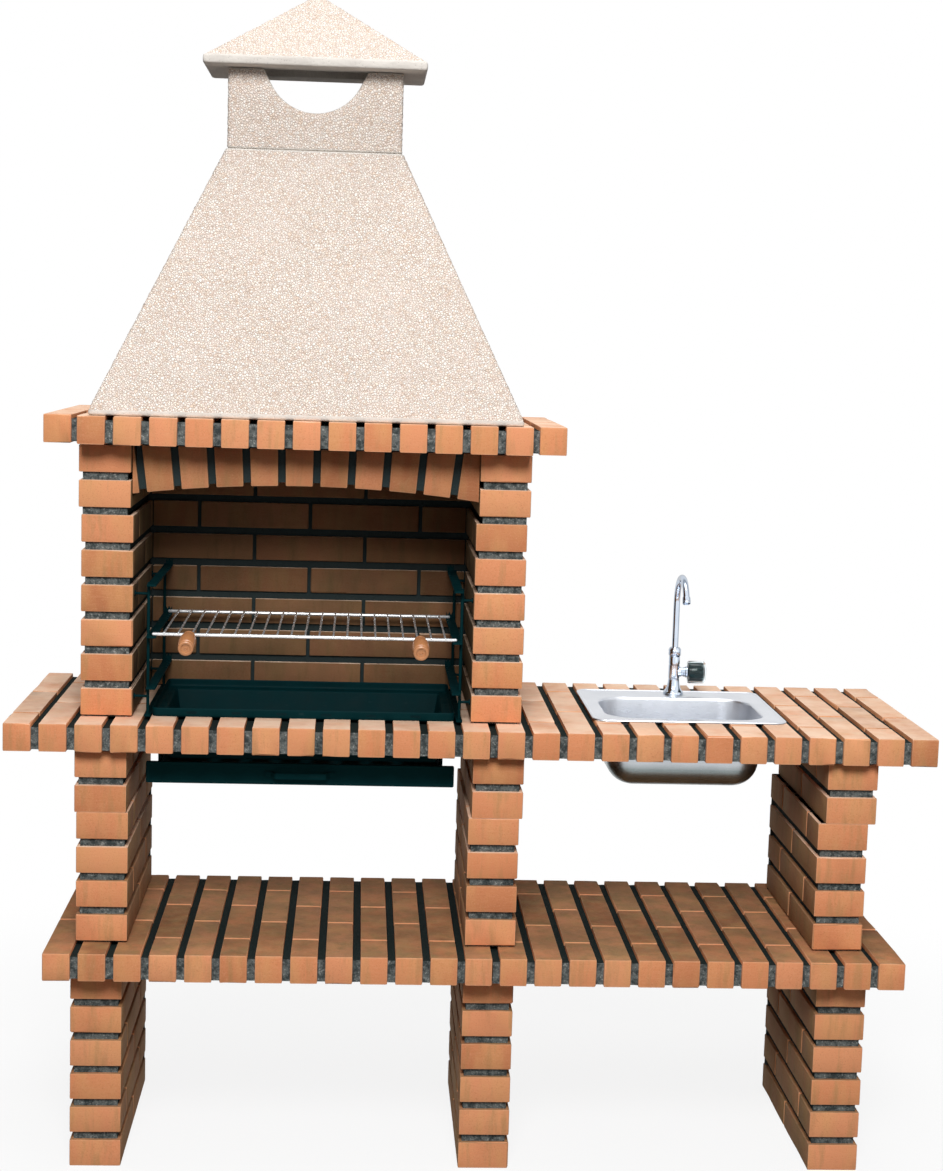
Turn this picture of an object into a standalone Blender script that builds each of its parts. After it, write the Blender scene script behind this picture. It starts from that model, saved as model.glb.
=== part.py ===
# Outdoor masonry barbecue with a sink: brick blocks, hooded firebox, steel fittings.
# Lengths are in metres. X runs along the worktop, Y from front to back, Z up.
# The origin is on the ground, under the middle of the whole object.
import math

import bmesh
import bpy
from mathutils import Matrix, Vector

# Bricks and joints
BRICK_LENGTH = 0.220
BRICK_WIDTH = 0.098
BRICK_HEIGHT = 0.052
CUT_BRICK = 0.107            # cut length that ends each slab strip
BED_JOINT = 0.0135           # wide raked joint between courses, and between slab strips
PERPEND = 0.0055             # tight joint between the bricks of one course
RAKE = 0.007                 # how far the mortar stands back from the brick faces
GLUE_BED = 0.003             # bed under and over each prefabricated block
SEAT_GAP = 0.0003            # clearance between two pieces that seat on each other
OVERRUN = 0.02               # how far a cutter runs past what it cuts

# Number of strips in the two halves of each slab and in the mantel, and of courses in each block
WORKTOP_LEFT_STRIPS = 14
WORKTOP_RIGHT_STRIPS = 13
SHELF_LEFT_STRIPS = 13
SHELF_RIGHT_STRIPS = 12
MANTEL_STRIPS = 13
LEG_COURSE_COUNT = 6
POST_COURSE_COUNT = 4
CAP_COURSE_COUNT = 2
WALL_COURSE_COUNT = 6
RING_COURSE_COUNT = 2

# Places of the blocks, from the worktop's left end, right end, front edge or slab joint
SHELF_FROM_LEFT = 0.0796
SHELF_PROJECTION = 0.041     # the shelf's front edge stands forward of the worktop's
LEG_FROM_LEFT, LEG_FROM_JOINT, LEG_FROM_RIGHT = 0.1727, 0.0042, 0.1587
POST_FROM_LEFT, POST_FROM_JOINT, POST_FROM_RIGHT = 0.1802, 0.0058, 0.1681
CAP_FROM_LEFT, CAP_FROM_JOINT, CAP_FROM_RIGHT = 0.1764, 0.0118, 0.1540
LEG_SETBACK = 0.0174
POST_SETBACK = 0.0306
WALL_SETBACK = 0.0783
FIREBOX_FROM_LEFT = 0.1313
RING_SPREAD = 0.0053         # each side of the upper ring sits this much further out

# Brick arch
ARCH_SETBACK = 0.015         # from the pillars' front faces
ARCH_RISE = 0.0217
ARCH_CROWN_HEIGHT = 0.070    # brick over the crown of the arch
VOUSSOIR_WIDTH = 0.0512      # on the intrados
ARCH_FAN_SHIFT = -0.014      # the fan of joints is a little left of the opening's middle
ARCH_STEPS = 3

# Mantel
MANTEL_PROJECTION = 0.0582   # forward of the pillars
MANTEL_END_SETBACK = 0.032
MANTEL_SIDE_OVERHANG = 0.0014
MANTEL_BACK_OVERHANG = 0.008
FLUE_OPENING_WIDTH = 0.600
FLUE_OPENING_DEPTH = 0.215
FLUE_OPENING_BACK = 0.104    # from the mantel's back edge

# Hood, chimney collar and roof
HOOD_SIDE_SETBACK = 0.0165   # on the mantel slab
HOOD_FRONT_SETBACK, HOOD_BACK_SETBACK = 0.0146, 0.0121
HOOD_BAND_HEIGHT = 0.009
HOOD_HEIGHT = 0.503
HOOD_TOP_LIP = 0.0025        # the hood's top stands this much outside the collar
HOOD_WALL = 0.028
COLLAR_WIDTH, COLLAR_DEPTH, COLLAR_HEIGHT = 0.3325, 0.154, 0.150
COLLAR_WALL = 0.028
OUTLET_RADIUS = 0.094        # half-round smoke outlet, front and back
OUTLET_SILL = 0.070          # its lowest point above the collar's foot
OUTLET_ARC_HALF_ANGLE = math.radians(62.5)
OUTLET_ARC_STEPS = 14
EAVE = 0.0433                # the roof's overhang round the collar
ROOF_FASCIA = 0.0155
ROOF_RISE = 0.135
ROOF_SHELL = 0.022

# Charcoal tray in the worktop
HEARTH_SHIFT = 0.003         # tray, grill and racks, right of the firebox's middle
TRAY_SIDE_GAP = 0.002        # from the racks' feet
TRAY_BACK_GAP = 0.0018       # from the firebox's back wall
TRAY_FROM_FRONT = 0.096
TRAY_FLANGE = 0.018
TRAY_LIP = 0.016
TRAY_FALL = 0.088            # from flange to floor
TRAY_TAPER = 0.014
TRAY_SHEET = 0.002
TRAY_CLEARANCE = 0.005       # between the pan and the hole in the worktop
FLOOR_SLOTS = 7
FLOOR_SLOT_WIDTH = 0.008
FLOOR_SLOT_MARGIN_X, FLOOR_SLOT_MARGIN_Y = 0.076, 0.047   # from the floor's edges
LIP_SLOTS = 6
LIP_SLOT_LENGTH, LIP_SLOT_HEIGHT = 0.020, 0.005
LIP_SLOT_MARGIN = 0.0755     # from the tray's ends

# Ash drawer and its runners
DRAWER_SHIFT = -0.002
DRAWER_FRONT_LAP = 0.026     # the front plate is this much wider than the pan, each side
DRAWER_FRONT_HEIGHT = 0.0415
DRAWER_FROM_FRONT = 0.125
DRAWER_BELOW_TRAY = 0.0058
DRAWER_FRONT_EDGE = 0.008    # folded back edge of the front plate
PAN_DEPTH, PAN_HEIGHT = 0.285, 0.034
DRAWER_SHEET = 0.0015
RUNNER_SHEET = 0.002
RUNNER_CLEARANCE = 0.0015
RUNNER_SHELF = 0.012
RUNNER_FLANGE = 0.018
PULL_FACE_WIDTH, PULL_HEIGHT = 0.098, 0.0115
PULL_REACH, PULL_SHEET = 0.020, 0.0025
PULL_SPLAY, PULL_FOOT = 0.007, 0.012     # along the front: the sloping end, then its foot
PULL_EDGE_RADIUS = 0.0006

# Grill racks
RACK_FROM_WALL = 0.0236      # from the uprights' centre lines to the firebox's walls
UPRIGHT_RADIUS = 0.003
FRONT_UPRIGHT_SETBACK = 0.016   # behind the grill's front rail
HORN_GAP = 0.012             # from the grill's rear rail to the rear upright
ARM_HEIGHTS = (0.058, 0.1557, 0.254)   # top faces above the worktop
ARM_REACH = 0.007            # forward of the grill's front rail
ARM_WIDTH, ARM_THICKNESS = 0.0190, 0.004
ARM_NOTCHES = 4
ARM_NOTCH_PITCH, ARM_NOTCH_DEPTH, ARM_NOTCH_HALF_WIDTH = 0.026, 0.007, 0.006
ARM_HORN_HEIGHT = 0.014      # toothed stop that turns up at the rear of each arm
RACK_FOOT_WIDTH, RACK_FOOT_THICKNESS = 0.012, 0.003
LUG_RADIUS = 0.0025
LUG_BELOW_ARM = 0.020

# Grill
GRILL_SIDE_GAP = 0.005       # from the uprights
GRILL_SHORTFALL = 0.012      # the grill is this much less deep than the tray
GRILL_FROM_FRONT = 0.084
RAIL_RADIUS = 0.0035
WIRE_RADIUS = 0.002
WIRE_COUNT = 21
WIRE_MARGIN = 0.023          # from the rails' ends to the first and last wires
WIRE_OVERHANG = 0.0045
WIRE_BITE = 0.003            # how deep the wires are welded into the rails
TANG_RADIUS = 0.003
TANG_LENGTH = 0.052
HANDLE_FROM_END = 0.071
HANDLE_DROP_ANGLE = math.radians(8)
HANDLE_LENGTH = 0.082
HANDLE_RADIUS, HANDLE_NECK_RADIUS, HANDLE_END_RADIUS = 0.0165, 0.0115, 0.0135
HANDLE_BORE_DEPTH = 0.045
HANDLE_GAP = 0.010           # bare tang between the rail and the wood

# Sink
SINK_FROM_RIGHT, SINK_FROM_FRONT = 0.453, 0.2985
SINK_WIDTH, SINK_DEPTH = 0.382, 0.347
SINK_CORNER = 0.028
SINK_SHEET = 0.001
SINK_BEAD_HEIGHT, SINK_BEAD_WIDTH = 0.0035, 0.008
BOWL_FALL = 0.142
RIM_SIDE, RIM_FRONT, RIM_BACK = 0.034, 0.041, 0.077   # flat deck round the bowl
BOWL_CORNER = 0.060
BOWL_TAPER = 0.005
BOWL_FLOOR_RADIUS = 0.050
BOWL_EDGE_RADIUS = 0.006
DRAIN_CLEARANCE = 0.0015
DRAIN_DISH = 0.0025
CUTOUT_MARGIN = 0.009        # the rim covers the hole in the worktop by this much
CORNER_STEPS = 4

# Sink waste
WASTE_FLANGE_RADIUS, WASTE_FLANGE_HEIGHT = 0.034, 0.002
WASTE_TUBE_RADIUS, WASTE_WALL = 0.0225, 0.0025
WASTE_TUBE_LENGTH = 0.0078
WASTE_NUT_RADIUS, WASTE_NUT_HEIGHT = 0.029, 0.005
STRAINER_CLEARANCE, STRAINER_HEIGHT = 0.0015, 0.0035
STRAINER_KNOB_RADIUS, STRAINER_KNOB_HEIGHT = 0.005, 0.014
STRAINER_RIM_SETBACK = 0.006

# Tap
TAP_SHIFT = 0.0122           # right of the sink's middle
TAP_FROM_SINK_BACK = 0.030
TAP_BASE_RADIUS, TAP_BASE_HEIGHT = 0.021, 0.005
TAP_WAIST_RADIUS, TAP_WAIST_HEIGHT = 0.0115, 0.028
TAP_BODY_HEIGHT = 0.080
TAP_HOLE_CLEARANCE = 0.0007
SHANK_RADIUS, SHANK_LENGTH = 0.0103, 0.048
BACKNUT_RADIUS, BACKNUT_HEIGHT = 0.0150, 0.008
BRANCH_HEIGHT = 0.047        # valve branch above the sink deck
BRANCH_RADIUS, BRANCH_REACH = 0.0100, 0.0115
BONNET_RADIUS, BONNET_LENGTH = 0.0115, 0.006
STEM_RADIUS, STEM_LENGTH = 0.004, 0.020
KNOB_LENGTH, KNOB_RADIUS, KNOB_WALL = 0.037, 0.0235, 0.0020
KNOB_CORE_GAP, KNOB_END, KNOB_FLUTE_DEPTH = 0.0015, 0.007, 0.0022
KNOB_FLUTES = 12
SPOUT_NUT_RADIUS, SPOUT_NUT_HEIGHT = 0.0130, 0.019
SPOUT_RADIUS = 0.0067
SPOUT_RISE = 0.190           # straight riser, from the sink deck
SPOUT_BEND_RADIUS = 0.062
SPOUT_BEND_ANGLE = math.radians(152)
SPOUT_BEND_STEPS = 12
SPOUT_TAIL = 0.005
SPOUT_SOCKET = 0.010
AERATOR_LENGTH, AERATOR_WALL = 0.014, 0.0015
AERATOR_SIDE = 0.0016        # its socket round the spout

# Steps round a turned piece
STEPS_ROUND = 20
STEPS_SMALL = 12
WIRE_SIDES = 5
NUT_SIDES = 6
ROD_SIDES = 8

# Sizes that follow
COURSE = BRICK_HEIGHT + BED_JOINT
SLAB_DEPTH = 2 * BRICK_LENGTH + CUT_BRICK + 2 * PERPEND
WALL_DEPTH = 2 * BRICK_LENGTH + PERPEND
WORKTOP_WIDTH = (WORKTOP_LEFT_STRIPS + WORKTOP_RIGHT_STRIPS) * COURSE - BED_JOINT
OVERALL_DEPTH = SHELF_PROJECTION + SLAB_DEPTH
LEFT = -WORKTOP_WIDTH / 2
RIGHT = WORKTOP_WIDTH / 2
FRONT = -OVERALL_DEPTH / 2 + SHELF_PROJECTION      # the worktop's front edge
SLAB_JOINT = LEFT + WORKTOP_LEFT_STRIPS * COURSE - BED_JOINT / 2
MANTEL_WIDTH = MANTEL_STRIPS * COURSE - BED_JOINT
FIREBOX_WIDTH = MANTEL_WIDTH - 2 * MANTEL_SIDE_OVERHANG
MANTEL_DEPTH = MANTEL_PROJECTION + WALL_DEPTH + MANTEL_BACK_OVERHANG
HOOD_BASE_WIDTH = MANTEL_WIDTH - 2 * HOOD_SIDE_SETBACK
HOOD_BASE_DEPTH = MANTEL_DEPTH - HOOD_FRONT_SETBACK - HOOD_BACK_SETBACK
ROOF_WIDTH, ROOF_DEPTH = COLLAR_WIDTH + 2 * EAVE, COLLAR_DEPTH + 2 * EAVE
RACK_WIDTH = FIREBOX_WIDTH - 2 * BRICK_WIDTH - 2 * RACK_FROM_WALL
TRAY_WIDTH = RACK_WIDTH - RACK_FOOT_WIDTH - 2 * TRAY_SIDE_GAP
TRAY_DEPTH = WALL_SETBACK + WALL_DEPTH - BRICK_WIDTH - TRAY_FROM_FRONT - TRAY_BACK_GAP
DRAWER_BELOW_SLAB = TRAY_FALL - BRICK_HEIGHT + DRAWER_BELOW_TRAY
PAN_WIDTH = TRAY_WIDTH - 2 * TRAY_FLANGE
DRAWER_FRONT_WIDTH = PAN_WIDTH + 2 * DRAWER_FRONT_LAP
GRILL_WIDTH = RACK_WIDTH - 2 * UPRIGHT_RADIUS - 2 * GRILL_SIDE_GAP
GRILL_DEPTH = TRAY_DEPTH - GRILL_SHORTFALL
FRONT_UPRIGHT_FROM_FRONT = GRILL_FROM_FRONT + FRONT_UPRIGHT_SETBACK
REAR_UPRIGHT_FROM_FRONT = GRILL_FROM_FRONT + GRILL_DEPTH + HORN_GAP
WIRE_PITCH = (GRILL_WIDTH - 2 * WIRE_MARGIN) / (WIRE_COUNT - 1)
HANDLE_SPACING = GRILL_WIDTH - 2 * HANDLE_FROM_END
BOWL_WIDTH = SINK_WIDTH - 2 * RIM_SIDE
BOWL_DEPTH = SINK_DEPTH - RIM_FRONT - RIM_BACK
BOWL_FORWARD = (RIM_BACK - RIM_FRONT) / 2          # bowl's middle, forward of the rim's
DRAIN_RADIUS = WASTE_TUBE_RADIUS + DRAIN_CLEARANCE
STRAINER_RADIUS = WASTE_TUBE_RADIUS - WASTE_WALL - STRAINER_CLEARANCE
STRAINER_RIM_RADIUS = WASTE_FLANGE_RADIUS - STRAINER_RIM_SETBACK
TAP_HOLE_RADIUS = SHANK_RADIUS + TAP_HOLE_CLEARANCE
KNOB_CORE_RADIUS = KNOB_RADIUS - KNOB_WALL - KNOB_CORE_GAP
KNOB_CORE_LENGTH = KNOB_LENGTH - KNOB_END
AERATOR_RADIUS = SPOUT_RADIUS + AERATOR_SIDE


def stack(courses):
    # Height of a number of courses with the bed joints between them
    return courses * COURSE - BED_JOINT


# Levels, from the ground up
SHELF_Z = stack(LEG_COURSE_COUNT) + GLUE_BED
POST_Z = SHELF_Z + BRICK_HEIGHT + GLUE_BED
CAP_Z = POST_Z + stack(POST_COURSE_COUNT) + SEAT_GAP
WORKTOP_Z = CAP_Z + stack(CAP_COURSE_COUNT) + GLUE_BED
HEARTH_Z = WORKTOP_Z + BRICK_HEIGHT                # the worktop's upper face
WALL_Z = HEARTH_Z + GLUE_BED
RING_Z = WALL_Z + stack(WALL_COURSE_COUNT) + BED_JOINT
MANTEL_Z = RING_Z + stack(RING_COURSE_COUNT) + GLUE_BED
HOOD_Z = MANTEL_Z + BRICK_HEIGHT + SEAT_GAP
COLLAR_Z = HOOD_Z + HOOD_HEIGHT + SEAT_GAP
ROOF_Z = COLLAR_Z + COLLAR_HEIGHT + SEAT_GAP

# Places in plan
FIREBOX_LEFT = LEFT + FIREBOX_FROM_LEFT
FIREBOX_RIGHT = FIREBOX_LEFT + FIREBOX_WIDTH
FIREBOX_X = (FIREBOX_LEFT + FIREBOX_RIGHT) / 2
WALL_FRONT = FRONT + WALL_SETBACK
WALL_BACK = WALL_FRONT + WALL_DEPTH
HEARTH_X = FIREBOX_X + HEARTH_SHIFT
DRAWER_X = FIREBOX_X + DRAWER_SHIFT
SINK_X = RIGHT - SINK_FROM_RIGHT
SINK_Y = FRONT + SINK_FROM_FRONT
TAP_X = SINK_X + TAP_SHIFT
TAP_Y = SINK_Y + SINK_DEPTH / 2 - TAP_FROM_SINK_BACK
DECK_Z = HEARTH_Z + SEAT_GAP + SINK_SHEET          # upper face of the sink's rim

FINISHES = {
    "brick": ((0.73, 0.30, 0.13), 0.85, 0.0),
    "stone": ((0.80, 0.66, 0.55), 0.90, 0.0),
    "black_steel": ((0.012, 0.018, 0.017), 0.45, 0.6),
    "wire": ((0.62, 0.64, 0.66), 0.25, 1.0),
    "stainless": ((0.58, 0.59, 0.62), 0.30, 1.0),
    "chrome": ((0.80, 0.82, 0.84), 0.08, 1.0),
    "wood": ((0.70, 0.38, 0.17), 0.55, 0.0),
    "white_plastic": ((0.75, 0.75, 0.73), 0.40, 0.0),
    "dark_plastic": ((0.01, 0.035, 0.03), 0.30, 0.0),
    "clear_plastic": ((0.86, 0.88, 0.90), 0.05, 0.0),
}

for old in list(bpy.data.objects):
    bpy.data.objects.remove(old, do_unlink=True)

parts = bpy.data.collections.new("masonry_barbecue")
cutters = bpy.data.collections.new("cutters")
bpy.context.scene.collection.children.link(parts)
bpy.context.scene.collection.children.link(cutters)


def piece(name, mesh, finish):
    # A named part with a material of its own
    colour, roughness, metallic = FINISHES[finish]
    material = bpy.data.materials.new(name)
    material.use_nodes = True
    shader = material.node_tree.nodes["Principled BSDF"]
    shader.inputs["Base Color"].default_value = (*colour, 1)
    shader.inputs["Roughness"].default_value = roughness
    shader.inputs["Metallic"].default_value = metallic
    mesh.materials.clear()
    mesh.materials.append(material)
    obj = bpy.data.objects.new(name, mesh)
    parts.objects.link(obj)
    return obj


def helper(name, mesh):
    # A cutter, or a shape that is joined to a part
    obj = bpy.data.objects.new(name, mesh)
    obj.display_type = "WIRE"
    obj.hide_render = True
    cutters.objects.link(obj)
    return obj


def combine(obj, other, operation):
    modifier = obj.modifiers.new(other.name, "BOOLEAN")
    modifier.operation = operation
    modifier.solver = "EXACT"
    modifier.object = other


def cut(obj, mesh, name="cut"):
    combine(obj, helper(f"{obj.name}_{name}", mesh), "DIFFERENCE")


def join(obj, mesh, name="join"):
    combine(obj, helper(f"{obj.name}_{name}", mesh), "UNION")


def thicken(obj, thickness):
    # Gives a surface an even thickness on its inner side
    sheet = obj.modifiers.new("sheet", "SOLIDIFY")
    sheet.solidify_mode = "NON_MANIFOLD"
    sheet.nonmanifold_thickness_mode = "CONSTRAINTS"
    sheet.nonmanifold_merge_threshold = SEAT_GAP / 10
    sheet.thickness = thickness
    sheet.offset = -1


def boxes(*corners):
    # One mesh of separate boxes, each given by its low and high corner
    bm = bmesh.new()
    for low, high in corners:
        low, high = Vector(low), Vector(high)
        place = Matrix.Translation((low + high) / 2) @ Matrix.Diagonal((*(high - low), 1))
        bmesh.ops.create_cube(bm, size=1, matrix=place)
    mesh = bpy.data.meshes.new("boxes")
    bm.to_mesh(mesh)
    bm.free()
    return mesh


def rods(runs, radius, sides):
    # One mesh of separate straight rods, each from a start point to an end point
    bm = bmesh.new()
    for start, end in runs:
        start, end = Vector(start), Vector(end)
        along = end - start
        place = Matrix.Translation((start + end) / 2) @ along.to_track_quat("Z", "Y").to_matrix().to_4x4()
        bmesh.ops.create_cone(bm, cap_ends=True, segments=sides, radius1=radius, radius2=radius,
                              depth=along.length, matrix=place)
    mesh = bpy.data.meshes.new("rods")
    bm.to_mesh(mesh)
    bm.free()
    return mesh


def solid_of_curve(curve, matrix):
    # A curve's evaluated solid as a mesh with its caps welded
    holder = bpy.data.objects.new("curve", curve)
    bpy.context.scene.collection.objects.link(holder)
    bpy.context.view_layer.update()
    mesh = bpy.data.meshes.new_from_object(holder.evaluated_get(bpy.context.evaluated_depsgraph_get()))
    bpy.data.objects.remove(holder)
    bm = bmesh.new()
    bm.from_mesh(mesh)
    bmesh.ops.remove_doubles(bm, verts=bm.verts, dist=SEAT_GAP / 10)
    bmesh.ops.transform(bm, matrix=matrix, verts=bm.verts)
    bmesh.ops.recalc_face_normals(bm, faces=bm.faces)
    bm.to_mesh(mesh)
    bm.free()
    return mesh


def plate(outlines, thickness, matrix):
    # Flat outlines in X and Y, thick along Z, then put in place
    curve = bpy.data.curves.new("plate", "CURVE")
    curve.dimensions = "2D"
    curve.fill_mode = "BOTH"
    curve.extrude = thickness / 2
    for outline in outlines:
        spline = curve.splines.new("POLY")
        spline.points.add(len(outline) - 1)
        for point, (x, y) in zip(spline.points, outline):
            point.co = (x, y, 0, 1)
        spline.use_cyclic_u = True
    return solid_of_curve(curve, matrix)


def tube(points, radius, bevel_resolution, matrix=Matrix()):
    curve = bpy.data.curves.new("tube", "CURVE")
    curve.dimensions = "3D"
    curve.bevel_depth = radius
    curve.bevel_resolution = bevel_resolution
    curve.use_fill_caps = True
    spline = curve.splines.new("POLY")
    spline.points.add(len(points) - 1)
    for point, place in zip(spline.points, points):
        point.co = (*place, 1)
    return solid_of_curve(curve, matrix)


def turned(name, profile, finish, steps=STEPS_ROUND, closed=False):
    # A profile of (radius, height) points, down its outer side, turned round Z
    mesh = bpy.data.meshes.new(name)
    points = [(radius, 0, height) for radius, height in profile]
    edges = [(i, i + 1) for i in range(len(points) - 1)]
    if closed:
        edges.append((len(points) - 1, 0))
    mesh.from_pydata(points, edges, [])
    obj = piece(name, mesh, finish)
    screw = obj.modifiers.new("turn", "SCREW")
    screw.steps = screw.render_steps = steps
    screw.use_merge_vertices = True
    screw.merge_threshold = SEAT_GAP / 10
    screw.use_smooth_shade = True
    return obj


def along_y(y):
    # Takes a plate drawn in X and Y to the X and Z plane, at the given Y
    return Matrix.Translation((0, y, 0)) @ Matrix.Rotation(math.radians(90), 4, "X")


def course_lengths(total, first):
    # Lengths of the bricks that fill a course, beginning with the given brick
    lengths, used = [], 0
    length = first
    while used < total - PERPEND:
        lengths.append(min(length, total - used))
        used += lengths[-1] + PERPEND
        length = BRICK_LENGTH
    return lengths


def wall(name, x, y, z, courses, bed_below=GLUE_BED, bed_above=GLUE_BED):
    # A block half a brick thick that runs from front to back, in running bond
    bricks = []
    for course in range(courses):
        at, low = y, z + course * COURSE
        for length in course_lengths(WALL_DEPTH, BRICK_WIDTH if course % 2 else BRICK_LENGTH):
            bricks.append(((x, at, low), (x + BRICK_WIDTH, at + length, low + BRICK_HEIGHT)))
            at += length + PERPEND
    low = z - bed_below + SEAT_GAP if bed_below else z + RAKE
    high = z + stack(courses) + (bed_above - SEAT_GAP if bed_above else -RAKE)
    core = ((x + RAKE, y + RAKE, low), (x + BRICK_WIDTH - RAKE, y + WALL_DEPTH - RAKE, high))
    obj = piece(name, boxes(core), "brick")
    join(obj, boxes(*bricks), "bricks")
    return obj


def cross_wall(name, left, right, y, z, courses, bed_below, bed_above):
    # A block half a brick thick that runs from left to right, bonded about its middle
    middle = (left + right) / 2
    step = BRICK_LENGTH + PERPEND
    reach = math.ceil((right - left) / step / 2) + 1
    bricks = []
    for course in range(courses):
        shift = step / 2 if course % 2 else 0
        low = z + course * COURSE
        for count in range(-reach, reach + 1):
            start = max(left, middle + shift + count * step - BRICK_LENGTH / 2)
            end = min(right, middle + shift + count * step + BRICK_LENGTH / 2)
            if end - start > PERPEND:
                bricks.append(((start, y, low), (end, y + BRICK_WIDTH, low + BRICK_HEIGHT)))
    core = boxes(((left + RAKE, y + RAKE, z - bed_below + SEAT_GAP),
                  (right - RAKE, y + BRICK_WIDTH - RAKE, z + stack(courses) + bed_above - SEAT_GAP)))
    obj = piece(name, core, "brick")
    join(obj, boxes(*bricks), "bricks")
    return obj


def slab(name, left, y, z, strips, depth, joint_at_left=False):
    # Strips of brick on edge that run from front to back, with raked joints between them
    width = strips * COURSE - BED_JOINT
    mortar_left = left - BED_JOINT + SEAT_GAP if joint_at_left else left + RAKE
    obj = piece(name, boxes(((mortar_left, y + RAKE, z + RAKE),
                             (left + width - RAKE, y + depth - RAKE, z + BRICK_HEIGHT - RAKE))), "brick")
    join(obj, boxes(*[((left + strip * COURSE, y, z),
                       (left + strip * COURSE + BRICK_HEIGHT, y + depth, z + BRICK_HEIGHT))
                      for strip in range(strips)]), "bricks")
    return obj


def legs():
    shelf_left = LEFT + SHELF_FROM_LEFT
    shelf_joint = shelf_left + SHELF_LEFT_STRIPS * COURSE - BED_JOINT / 2
    half = BRICK_WIDTH / 2
    rows = (("lower_leg", (LEFT + LEG_FROM_LEFT, SLAB_JOINT + LEG_FROM_JOINT, RIGHT - LEG_FROM_RIGHT),
             LEG_SETBACK, 0, LEG_COURSE_COUNT, 0, GLUE_BED),
            ("upper_leg", (LEFT + POST_FROM_LEFT, SLAB_JOINT + POST_FROM_JOINT, RIGHT - POST_FROM_RIGHT),
             POST_SETBACK, POST_Z, POST_COURSE_COUNT, GLUE_BED, 0),
            ("leg_cap", (LEFT + CAP_FROM_LEFT, SLAB_JOINT + CAP_FROM_JOINT, RIGHT - CAP_FROM_RIGHT),
             POST_SETBACK, CAP_Z, CAP_COURSE_COUNT, 0, GLUE_BED))
    for stem, centres, setback, z, courses, below, above in rows:
        for side, centre in zip(("left", "middle", "right"), centres):
            wall(f"{stem}_{side}", centre - half, FRONT + setback, z, courses, below, above)
    return shelf_left, shelf_joint


def slabs(shelf_left, shelf_joint):
    shelf_y = FRONT - SHELF_PROJECTION
    slab("shelf_slab_left", shelf_left, shelf_y, SHELF_Z, SHELF_LEFT_STRIPS, SLAB_DEPTH)
    slab("shelf_slab_right", shelf_joint + BED_JOINT / 2, shelf_y, SHELF_Z, SHELF_RIGHT_STRIPS, SLAB_DEPTH,
         joint_at_left=True)
    hearth = slab("worktop_hearth_slab", LEFT, FRONT, WORKTOP_Z, WORKTOP_LEFT_STRIPS, SLAB_DEPTH)
    hole_x = TRAY_WIDTH / 2 - TRAY_FLANGE + TRAY_CLEARANCE
    tray_y = FRONT + TRAY_FROM_FRONT
    cut(hearth, boxes(((HEARTH_X - hole_x, tray_y + TRAY_FLANGE - TRAY_CLEARANCE, WORKTOP_Z - OVERRUN),
                       (HEARTH_X + hole_x, tray_y + TRAY_DEPTH - TRAY_FLANGE + TRAY_CLEARANCE,
                        HEARTH_Z + OVERRUN))), "tray_hole")
    sink = slab("worktop_sink_slab", SLAB_JOINT + BED_JOINT / 2, FRONT, WORKTOP_Z, WORKTOP_RIGHT_STRIPS,
                SLAB_DEPTH, joint_at_left=True)
    hole_x, hole_y = SINK_WIDTH / 2 - CUTOUT_MARGIN, SINK_DEPTH / 2 - CUTOUT_MARGIN
    cut(sink, boxes(((SINK_X - hole_x, SINK_Y - hole_y, WORKTOP_Z - OVERRUN),
                     (SINK_X + hole_x, SINK_Y + hole_y, HEARTH_Z + OVERRUN))), "sink_hole")


def firebox():
    left, right = FIREBOX_LEFT, FIREBOX_RIGHT - BRICK_WIDTH
    back = WALL_BACK - BRICK_WIDTH
    inner = (FIREBOX_LEFT + BRICK_WIDTH + SEAT_GAP, right - SEAT_GAP)
    wall("firebox_wall_left", left, WALL_FRONT, WALL_Z, WALL_COURSE_COUNT, GLUE_BED, 0)
    wall("firebox_wall_right", right, WALL_FRONT, WALL_Z, WALL_COURSE_COUNT, GLUE_BED, 0)
    cross_wall("firebox_wall_back", *inner, back, WALL_Z, WALL_COURSE_COUNT, GLUE_BED, 0)
    wall("hearth_ring_left", left - RING_SPREAD, WALL_FRONT, RING_Z, RING_COURSE_COUNT, BED_JOINT, GLUE_BED)
    wall("hearth_ring_right", right + RING_SPREAD, WALL_FRONT, RING_Z, RING_COURSE_COUNT, BED_JOINT, GLUE_BED)
    cross_wall("hearth_ring_back", inner[0] - RING_SPREAD, inner[1] + RING_SPREAD, back, RING_Z,
               RING_COURSE_COUNT, BED_JOINT, GLUE_BED)


def clip(outline, limit, side):
    # The part of an outline on one side of the upright line x = limit
    kept = []
    for (x0, z0), (x1, z1) in zip(outline, outline[1:] + outline[:1]):
        if (x0 - limit) * side >= 0:
            kept.append((x0, z0))
        if (x0 - limit) * (x1 - limit) < 0:
            kept.append((limit, z0 + (z1 - z0) * (limit - x0) / (x1 - x0)))
    return kept


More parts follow.
